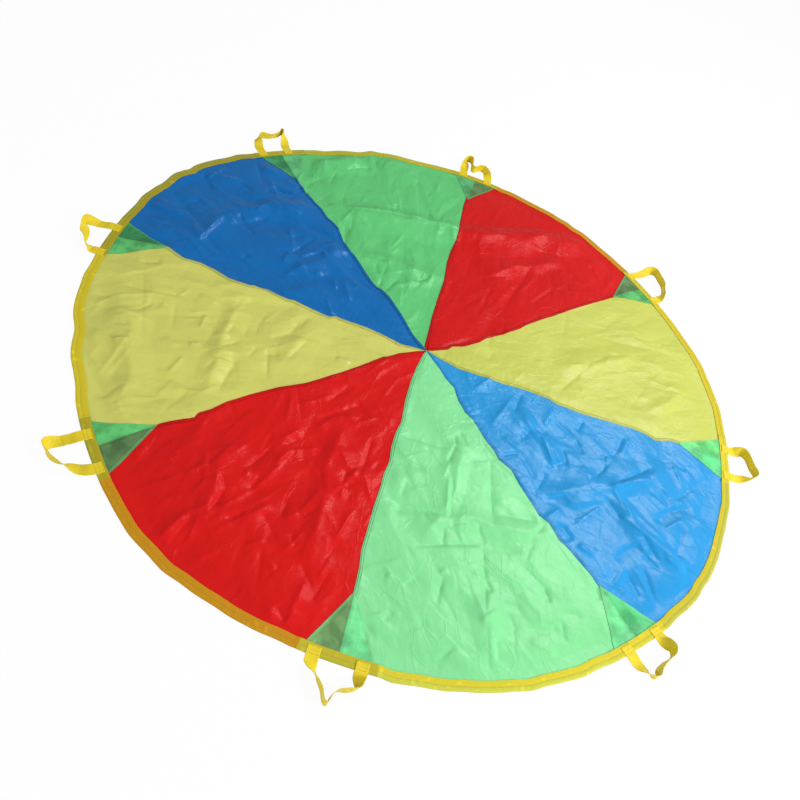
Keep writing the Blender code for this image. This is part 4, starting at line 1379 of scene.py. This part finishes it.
    def build_patch(self, number: int) -> bpy.types.Object:
        """A green triangle over the seam's rim end, its base under the binding."""
        bearing = self.seam_angle(number)
        rim = float(self.surface.rim(bearing))
        tip = rim - self.patch_depth
        inset = self.fold_inset + self.gap
        runs = np.linspace(tip, rim + self.patch_overrun, int(self.patch_depth / self.cell) + 2)
        half = (runs - tip) * self.patch_base / 2 / self.patch_depth + self.patch_tip
        plan, triangles, offsets = self.band(number, runs, -half, half, self.cell)
        radius = np.hypot(plan[:, 0], plan[:, 1])
        limit = self.surface.rim(np.arctan2(plan[:, 1], plan[:, 0])) - inset
        squeeze = np.minimum(1.0, limit / radius)
        plan = plan * squeeze[:, None]
        centre = self.seam_width / 2 - self.seam_lap
        past_tuck = np.abs(offsets - centre) - self.seam_width / 2
        over_seam = 1 - smooth_step(past_tuck / self.patch_rise_fade)
        edge = limit - radius
        over_seam *= smooth_step((edge - self.surface.binding_width) / self.patch_rise_run)
        under_right, under_left = self.gore_hues[number - 1], self.gore_hues[number]
        # Painted light and shade on the patch and on its hem
        light_right, light_left = self.patch_light_and_shade[number]
        right = scaled(self.patch_over[under_right], light_right)
        left = scaled(self.patch_over[under_left], light_left)
        finish = NylonFinish(
            f"patch_over_{under_right.value}_and_{under_left.value}_{number + 1}",
            scaled(self.patch_hem, (light_right + light_left) / 2),
            under=(right, left),
            tip=tip, flare=self.patch_base / 2 / self.patch_depth, gloss=self.gloss[Hue.GREEN][0],
        ).build()
        piece = close_sheet(
            f"rim_patch_{number + 1}", self.surface, plan, triangles,
            self.patch_level + self.patch_rise * over_seam, self.cloth, finish, bearing,
        )
        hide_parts(f"corner_patch_{number + 1}")
        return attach(piece, CANOPY)

    def build(self) -> None:
        """Builds and dresses every layer of the canopy."""
        self.colour_gores()
        for number in range(8):
            for piece in (self.build_gore(number), self.build_seam(number), self.build_patch(number)):
                LOG.info("%s: %d faces", piece.name, len(piece.data.polygons))


@dataclass
class RimBinding:
    """One folded tape round the whole rim, a U in section that is open to the hub."""

    surface: LyingCloth
    canopy: Canopy
    finish: TapeFinish = TapeFinish()
    step: float = 3.6 * MM
    tape: float = 0.8 * MM
    lip_over_patch: float = 2.2 * MM
    lip_over_cloth: float = 1.0 * MM
    stitch_inset: float = 10.5 * MM
    wrinkle: float = 0.7 * MM
    tape_flat: float = 0.052
    # How the outer and the inner lane look over each colour of cloth, and over a patch
    lanes_over: dict[Hue, tuple[Colour, Colour]] = field(
        default_factory=lambda: {
            Hue.GREEN: ((0.62, 0.62, 0.060), (0.68, 0.60, 0.030)),
            Hue.RED: ((0.60, 0.29, 0.006), (0.61, 0.28, 0.007)),
            Hue.YELLOW: ((0.66, 0.55, 0.030), (0.66, 0.54, 0.020)),
            Hue.BLUE: ((0.60, 0.58, 0.070), (0.68, 0.58, 0.030)),
        }
    )
    lanes_over_patch: tuple[Colour, Colour] = ((0.60, 0.55, 0.035), (0.64, 0.54, 0.028))
    # How bright the tape is painted over each gore and over each patch: painted light and shade, by where it
    # lies on the rim
    gore_light_and_shade: tuple[float, ...] = (1.00, 1.02, 0.80, 0.62, 1.08, 1.02, 1.06, 0.88)
    patch_light_and_shade: tuple[float, ...] = (1.12, 1.00, 0.85, 0.80, 0.72, 0.75, 0.90, 1.12)

    def lip_level(self, angle: np.ndarray) -> np.ndarray:
        """The upper lip's underside above the gores' underside: higher where a patch lies under it."""
        seam = np.round(angle / (math.tau / 8)) * math.tau / 8
        side = np.abs(angle - seam) * self.surface.rim_radius
        over = 1.0 - smooth_step((side - self.canopy.patch_base / 2) / (12 * MM))
        return self.lip_over_cloth + (self.lip_over_patch - self.lip_over_cloth) * over

    def tint(self, angle: float, depth: float) -> Colour:
        """The tape's colour at an angle and a distance in from the rim, with painted light and shade."""
        place = angle / math.tau * 8
        gore = int(math.floor(place)) % 8
        # The tone paints light and shade on the tape by where it lies
        (outer, inner), tone = self.lanes_over[self.canopy.gore_hues[gore]], self.gore_light_and_shade[gore]
        if abs(place - round(place)) * math.tau / 8 * self.surface.rim_radius < self.canopy.patch_base / 2:
            (outer, inner), tone = self.lanes_over_patch, self.patch_light_and_shade[round(place) % 8]
        share = float(smooth_step(np.array((depth - self.stitch_inset + 1 * MM) / (2 * MM))))
        return tuple(tone * (o * (1 - share) + i * share) for o, i in zip(outer, inner))

    def section(self, level: float) -> list[tuple[float, float, float]]:
        """The tape's outline.

        Args:
            level: The upper lip's underside above the gores' underside.

        Returns:
            Each corner's distance in from the rim, height above the gores' underside and depth for its tint.
        """
        width, tape = self.surface.binding_width, self.tape
        low, high = -0.3 * MM, level
        nose = 1.4 * MM
        seam = self.stitch_inset
        upper = (
            (nose, high + tape * 0.85), (nose * 2.2, high + tape), (seam / 2, high + tape + 0.10 * MM),
            (seam - 1.6 * MM, high + tape), (seam, high + tape - 0.35 * MM), (seam + 1.6 * MM, high + tape),
            (seam + 6.0 * MM, high + tape + 0.10 * MM), (width - 2.0 * MM, high + tape + 0.10 * MM),
            (width - 0.2 * MM, high + tape * 0.95), (width, high + tape * 0.5), (width - 0.2 * MM, high),
            (width / 2, high), (self.tape + 0.4 * MM, high),
        )
        lower = (
            (self.tape + 0.4 * MM, low), (width / 2, low), (width - 0.2 * MM, low),
            (width, low - tape / 2), (width - 0.3 * MM, low - tape), (width / 2, low - tape),
            (nose, low - tape), (0.35 * MM, low - tape * 0.4), (0.0, (low + high) / 2),
            (0.35 * MM, high + tape * 0.3),
        )
        return [(inset, z, inset if z > 0 else 0.0) for inset, z in (*upper, *lower)]

    def build(self) -> bpy.types.Object:
        """Sweeps the section round the rim."""
        steps = int(math.tau * self.surface.rim_radius / self.step)
        angles = np.arange(steps) * math.tau / steps
        rims, levels = self.surface.rim(angles), self.lip_level(angles)
        points, tints, flat = [], [], []
        for angle, rim, level in zip(angles, rims, levels):
            section = self.section(float(level))
            radii = np.array([rim - inset for inset, _, _ in section])
            plan = np.stack((radii * math.cos(angle), radii * math.sin(angle)), axis=1)
            levels_here = np.array([z for _, z, _ in section])
            inset = rim - radii
            run = np.full(len(inset), angle * self.surface.rim_radius)
            ripple = self.surface.noises["fine"].at(run * 3.0 + inset * 2.0, inset * 2.0)
            top = (levels_here > level + self.tape * 0.9) & (inset < self.stitch_inset - 1 * MM)
            points.append(self.surface.place(plan, levels_here + self.wrinkle * ripple * top))
            tints.extend((*self.tint(float(angle), depth), 1.0) for _, _, depth in section)
            flat.extend((angle * self.surface.rim_radius, inset) for inset, _, _ in section)
        corners = len(points[0])
        faces = []
        for here in range(steps):
            there = (here + 1) % steps
            for corner in range(corners):
                after = (corner + 1) % corners
                low, high = here * corners, there * corners
                faces.append((low + corner, low + after, high + after, high + corner))
        piece = link_mesh("rim_tape", np.concatenate(points), faces, self.finish.build())
        give_uv(piece, np.array(flat))
        layer = piece.data.color_attributes.new("tint", "FLOAT_COLOR", "POINT")
        layer.data.foreach_set("color", np.array(tints, np.float32).ravel())
        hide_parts("rim_binding")
        LOG.info("%s: %d faces", piece.name, len(faces))
        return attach(piece, CANOPY)


@dataclass
class Handle:
    """One webbing handle: a sewn end, the free loop and the other sewn end."""

    number: int
    route: tuple[tuple[float, float, float], ...]
    finish: bpy.types.Material
    width: float = 0.028
    thickness: float = 1.2 * MM
    sewn: float = 0.019
    lead: float = 0.9 * MM
    axis_height: float = 5.0 * MM
    step: float = 2.0 * MM
    selvedge: float = 0.25 * MM

    def frame(self) -> tuple[np.ndarray, np.ndarray, np.ndarray, float]:
        """The hinge line's middle, the directions out and left, and half the feet's spacing."""
        joint = next(j for j in frame["joints"] if j["child"] == f"handle_{self.number}")
        origin, left = np.array(joint["pos_m"]), -np.array(joint["axis"])
        left = left / np.linalg.norm(left)
        out = np.cross(left, (0.0, 0.0, 1.0))
        feet = []
        for side in ("left", "right"):
            low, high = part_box(f"sewn_end_{self.number}_{side}")
            feet.append((np.array(low) + np.array(high)) / 2)
        return origin, out, left, float((feet[0] - feet[1]) @ left) / 2

    def centre_line(self, half: float) -> np.ndarray:
        """Rows of out, left, up and roll along the webbing, from one sewn end to the other."""
        sewn_places = (-self.lead - self.sewn, -self.lead - self.sewn / 2, 0.0)
        rows = [(out, half, 0.0) for out in sewn_places]
        rows += [(out * MM, left * MM, math.radians(roll)) for out, left, roll in self.route]
        rows += [(out, -half, 0.0) for out in reversed(sewn_places)]
        keys = np.array(rows)
        keys = np.vstack((2 * keys[0] - keys[1], keys, 2 * keys[-1] - keys[-2]))
        line = []
        for index in range(len(keys) - 3):
            near = [keys[index + k] for k in range(4)]
            length = float(np.linalg.norm((near[2] - near[1])[:2]))
            for share in np.linspace(0, 1, max(2, int(length / self.step) + 1), endpoint=False):
                line.append(catmull_rom(near, share))
        line.append(keys[-2])
        out, left, roll = np.array(line).T
        return np.stack((out, left, self.resting_height(out, roll), roll), axis=1)

    def resting_height(self, out: np.ndarray, roll: np.ndarray) -> np.ndarray:
        """How far above the hinge line the webbing's middle is, where its lower edge rests on the floor."""
        edge_on, flat = np.abs(np.sin(roll)), np.abs(np.cos(roll))
        height = edge_on * self.width / 2 + flat * (self.thickness / 2 + self.selvedge) - self.axis_height
        leaving = smooth_step((out - self.lead) / self.width) ** 2
        return np.where(height < 0.0, height * leaving, height)

    def build(self) -> bpy.types.Object:
        """Sweeps the webbing along its line, placed by its hinge line at the binding's edge."""
        origin, out, left, half = self.frame()
        line = self.centre_line(half)
        centres = origin + line[:, :1] * out + line[:, 1:2] * left + line[:, 2:3] * np.array((0.0, 0.0, 1.0))
        headings = np.gradient(centres, axis=0)
        headings /= np.linalg.norm(headings, axis=1)[:, None]
        run = np.concatenate(([0.0], np.cumsum(np.linalg.norm(np.diff(centres, axis=0), axis=1))))
        half_width, half_thick, edge = self.width / 2, self.thickness / 2, self.selvedge
        lip = half_thick + edge * 0.3
        outline = [
            (half_width - 0.4 * MM, lip), (half_width - 2.2 * MM, lip),
            (half_width - 3.4 * MM, half_thick - 0.1 * MM), (0.0, half_thick),
            (-half_width + 3.4 * MM, half_thick - 0.1 * MM), (-half_width + 2.2 * MM, lip),
            (-half_width + 0.4 * MM, lip), (-half_width, half_thick * 0.3),
        ]
        outline += [(-w, -t) for w, t in outline]
        points, flat = [], []
        for centre, heading, row, length in zip(centres, headings, line, run):
            level = np.array((-heading[1], heading[0], 0.0))
            level /= np.linalg.norm(level)
            upright = np.cross(heading, level)
            wide = level * math.cos(row[3]) + upright * math.sin(row[3])
            thick = np.cross(heading, wide)
            points.extend(centre + wide * w + thick * t for w, t in outline)
            flat.extend((length, w) for w, _ in outline)
        corners = len(outline)
        faces = []
        for ring in range(len(line) - 1):
            for corner in range(corners):
                after = (corner + 1) % corners
                low, high = ring * corners, (ring + 1) * corners
                faces.append((low + corner, high + corner, high + after, low + after))
        faces.append(tuple(range(corners)))
        faces.append(tuple(range((len(line) - 1) * corners, len(line) * corners))[::-1])
        piece = link_mesh(f"webbing_handle_{self.number}", np.array(points), faces, self.finish)
        give_uv(piece, np.array(flat))
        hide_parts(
            f"handle_loop_{self.number}",
            f"sewn_end_{self.number}_left",
            f"sewn_end_{self.number}_right",
        )
        length = round(float(run[-1]), 3)
        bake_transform(piece)
        LOG.info("%s: webbing %.0f mm long", piece.name, run[-1] / MM)
        return piece


@dataclass
class Sewing:
    """The rows of stitches that hold the layers together."""

    surface: LyingCloth
    canopy: Canopy
    binding: RimBinding
    handles: Sequence[Handle]
    thread: float = 0.32 * MM
    stitch: float = 2.7 * MM
    pitch: float = 3.4 * MM

    def row(self, plan: np.ndarray, levels: np.ndarray) -> tuple[list, list]:
        """Stitches along a line.

        Args:
            plan: Places close together along the row.
            levels: Their heights above the gores' underside.

        Returns:
            Centres and headings of the stitches.
        """
        return self.row_through(self.surface.place(plan, levels))

    def row_through(self, points: np.ndarray) -> tuple[list, list]:
        """Centres and headings of stitches along a line in space."""
        run = np.concatenate(([0.0], np.cumsum(np.linalg.norm(np.diff(points, axis=0), axis=1))))
        marks = np.arange(self.pitch / 2, run[-1], self.pitch)
        centres = np.stack([np.interp(marks, run, points[:, k]) for k in range(3)], axis=1)
        before = np.stack([np.interp(marks - self.stitch / 2, run, points[:, k]) for k in range(3)], axis=1)
        after = np.stack([np.interp(marks + self.stitch / 2, run, points[:, k]) for k in range(3)], axis=1)
        return list(centres), list(after - before)

    def grains(
        self, name: str, centres: list, headings: list, finish: bpy.types.Material, slot: str
    ) -> bpy.types.Object:
        """One piece of many stitches, each a short arched grain of thread with pointed ends."""
        stations = ((-0.5, 0.25, -0.9), (-0.28, 1.0, 0.1), (0.28, 1.0, 0.1), (0.5, 0.25, -0.9))
        points, faces = [], []
        for centre, heading in zip(centres, headings):
            heading = heading / max(1e-9, float(np.linalg.norm(heading)))
            side = np.cross((0.0, 0.0, 1.0), heading)
            side /= max(1e-9, float(np.linalg.norm(side)))
            up = np.cross(heading, side)
            base = len(points)
            for along, thick, rise in stations:
                middle = centre + heading * along * self.stitch + up * rise * self.thread
                for turn in range(4):
                    angle = math.pi / 4 + turn * math.pi / 2
                    around = side * math.cos(angle) + up * math.sin(angle)
                    points.append(middle + around * self.thread * thick)
            for ring in range(3):
                for turn in range(4):
                    after = (turn + 1) % 4
                    low, high = base + ring * 4, base + ring * 4 + 4
                    faces.append((low + turn, low + after, high + after, high + turn))
            faces.append((base + 3, base + 2, base + 1, base))
            faces.append((base + 12, base + 13, base + 14, base + 15))
        piece = link_mesh(name, np.array(points), faces, finish)
        LOG.info("%s: %d stitches", name, len(centres))
        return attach(piece, CANOPY)

    def along_seam(self, number: int, offset: float, start: float, end: float) -> np.ndarray:
        """Places along a seam at a distance to its left."""
        bearing = self.canopy.seam_angle(number)
        runs = np.arange(start, end, 2 * MM)
        return runs[:, None] * turned(bearing) + offset * turned(bearing + math.pi / 2)

    def build(self) -> None:
        """Sews the seams, the patches and the binding."""
        canopy, surface = self.canopy, self.surface
        lane = ThreadFinish("thread_binding", (0.42, 0.27, 0.015)).build()
        for number in range(8):
            centres, headings = [], []
            rim = float(surface.rim(canopy.seam_angle(number)))
            for offset in canopy.stitch_offsets():
                plan = self.along_seam(number, offset, 0.03, rim - canopy.patch_depth + 5 * MM)
                found = self.row(plan, np.full(len(plan), canopy.seam_level + 0.35 * MM))
                centres += found[0]
                headings += found[1]
            hue = canopy.seam_hues[number]
            dark = ThreadFinish(f"thread_seam_{number + 1}", scaled(canopy.seam_colour(number), 0.32)).build()
            self.grains(f"seam_stitches_{number + 1}", centres, headings, dark, hue.value)
        centres, headings = [], []
        for number in range(8):
            bearing = canopy.seam_angle(number)
            rim = float(surface.rim(bearing))
            tip = (rim - canopy.patch_depth) * turned(bearing)
            for side in Side:
                edge = canopy.patch_depth * turned(bearing) + side.value * canopy.patch_base / 2 * turned(
                    bearing + math.pi / 2
                )
                inward = -side.value * 2.4 * MM * np.array((-edge[1], edge[0])) / np.linalg.norm(edge)
                last = (canopy.patch_depth - surface.binding_width) / canopy.patch_depth
                shares = np.linspace(0.06, last, 80)
                plan = tip + shares[:, None] * edge + inward
                found = self.row(plan, np.full(len(plan), canopy.patch_level + canopy.cloth + 0.1 * MM))
                centres += found[0]
                headings += found[1]
        green = ThreadFinish("thread_patch", (0.14, 0.54, 0.21)).build()
        self.grains("patch_stitches", centres, headings, green, "patch_green")
        angles = np.linspace(0, math.tau, 2400)
        radii = surface.rim(angles) - self.binding.stitch_inset
        plan = np.stack((radii * np.cos(angles), radii * np.sin(angles)), axis=1)
        levels = self.binding.lip_level(angles) + self.binding.tape - 0.1 * MM
        self.grains("binding_stitches", *self.row(plan, levels), lane, "binding_yellow")
        centres, headings = [], []
        for handle in self.handles:
            origin, out, left, half = handle.frame()
            top = handle.thickness / 2 + handle.selvedge * 0.3
            for side, inset in itertools.product(Side, (2 * MM, handle.sewn / 2, handle.sewn - 2 * MM)):
                middle = origin + side.value * half * left - (handle.lead + inset) * out
                middle = middle + np.array((0.0, 0.0, top))
                found = self.row_through(middle + np.linspace(-12 * MM, 12 * MM, 9)[:, None] * left)
                centres += found[0]
                headings += found[1]
        brown = ThreadFinish("thread_handles", (0.30, 0.17, 0.010)).build()
        self.grains("handle_stitches", centres, headings, brown, "webbing_yellow")


@dataclass
class Studio:
    """The floor, the lamps and the camera at the photograph's angle."""

    view: PhotoView = PhotoView()
    sensor_mm: float = 36.0
    world_strength: float = 0.36

    def build_floor(self) -> None:
        """A wide pale floor."""
        bpy.ops.mesh.primitive_plane_add(size=40.0, location=(0.0, 0.0, -0.3 * MM))
        floor = bpy.context.object
        floor.name = "floor"
        floor.data.materials.append(FloorFinish().build())

    def build_world(self) -> None:
        """An even white sky, which the camera sees as plain white and everything else sees dimmer."""
        world = bpy.data.worlds.new("studio")
        bpy.context.scene.world = world
        world.use_nodes = True
        nodes, links = world.node_tree.nodes, world.node_tree.links
        background = nodes["Background"]
        background.inputs["Color"].default_value = (1.0, 1.0, 1.0, 1.0)
        path = nodes.new("ShaderNodeLightPath")
        strength = nodes.new("ShaderNodeMapRange")
        strength.inputs["To Min"].default_value = self.world_strength
        strength.inputs["To Max"].default_value = 1.0
        links.new(path.outputs["Is Camera Ray"], strength.inputs["Value"])
        links.new(strength.outputs[0], background.inputs["Strength"])

    def add_lamp(self, name: str, place: tuple[float, float, float], size: float, power: float) -> None:
        """A soft square lamp that looks at the hub, with its side in metres and its power in watts."""
        data = bpy.data.lights.new(name, "AREA")
        data.size, data.energy = size, power
        lamp = bpy.data.objects.new(name, data)
        bpy.context.scene.collection.objects.link(lamp)
        lamp.location = place
        lamp.rotation_euler = (-Vector(place)).to_track_quat("-Z", "Y").to_euler()

    def build_camera(self) -> None:
        """The camera, turned about its own line of sight as it was held."""
        right, up, forward = (Vector(direction.tolist()) for direction in self.view.axes())
        data = bpy.data.cameras.new("camera")
        data.sensor_width = self.sensor_mm
        data.lens = self.view.focal_px * self.sensor_mm / (2 * self.view.middle_px)
        data.clip_start, data.clip_end = 0.05, 60.0
        camera = bpy.data.objects.new("camera", data)
        bpy.context.scene.collection.objects.link(camera)
        turn = Matrix((right, up, -forward)).transposed().to_4x4()
        camera.matrix_world = Matrix.Translation(Vector(self.view.position().tolist())) @ turn
        bpy.context.scene.camera = camera

    def build(self) -> None:
        """Sets up the whole studio."""
        self.build_floor()
        self.build_world()
        self.add_lamp("back_window", (1.86, 2.22, 3.45), 1.5, 95.0)
        self.add_lamp("side_window", (3.00, -1.35, 1.70), 1.5, 110.0)
        self.add_lamp("low_fill", (-2.90, -2.90, 1.00), 2.5, 55.0)
        self.build_camera()
        bpy.context.scene.view_settings.view_transform = "Standard"


# Each loop as it lies: millimetres out from the binding's edge and left of its middle, and roll in degrees
HANDLE_ROUTES: tuple[tuple[tuple[float, float, float], ...], ...] = (
    ((12, 49, 7), (26, 52, 36), (40, 53, 68), (53, 40, 90), (64, 8, 90), (74, -10, 90), (70, -25, 79),
     (44, -36, 25), (14, -47, 0)),
    ((14, 59, 0), (55, 60, 7), (82, 58, 50), (94, 43, 86), (86, 14, 90), (74, -16, 90), (50, -40, 90),
     (32, -53, 54), (14, -59, 7)),
    ((14, 45, 0), (50, 46, 7), (74, 45, 72), (86, 36, 90), (80, 26, 90), (56, 23, 90), (34, 20, 90),
     (30, 8, 90), (48, -4, 90), (54, -18, 90), (42, -33, 65), (26, -42, 22), (12, -45, 0)),
    ((14, 44, 0), (44, 37, -11), (67, 29, -68), (72, 14, -79), (64, -14, -65), (72, -43, -76),
     (84, -58, -90), (72, -65, -68), (44, -55, -14), (14, -45, 0)),
    ((13, 53, 7), (28, 47, 58), (40, 33, 79), (50, 12, 43), (60, -13, 36), (70, -34, 79), (56, -47, 29),
     (36, -51, 0), (14, -53, 0)),
    ((14, 42, 0), (36, 31, 18), (55, 18, 65), (70, 1, 86), (77, -18, 90), (78, -34, 72), (66, -45, 29),
     (42, -46, 0), (14, -45, 0)),
    ((9, 50, 11), (22, 52, 47), (35, 52, 79), (45, 34, 90), (52, 15, 83), (66, 6, 86), (80, 3, 90),
     (78, -6, 90), (58, -16, 90), (40, -32, 79), (24, -46, 40), (12, -50, 7)),
    ((12, 49, 11), (25, 50, 43), (38, 51, 76), (50, 38, 90), (51, 12, 83), (56, -14, 79), (67, -30, 90),
     (60, -42, 72), (36, -47, 18), (14, -48, 0)),
)


def main() -> None:
    """Builds the studio and the parachute, piece by piece."""
    logging.basicConfig(level=logging.INFO, format="%(message)s")
    Studio().build()
    surface = LyingCloth()
    canopy = Canopy(surface)
    canopy.build()
    binding = RimBinding(surface, canopy)
    binding.build()
    webbing = WebbingFinish().build()
    handles = [Handle(number, route, webbing) for number, route in enumerate(HANDLE_ROUTES, start=1)]
    for handle in handles:
        handle.build()
    Sewing(surface, canopy, binding, handles).build()


if __name__ == "__main__":
    main()
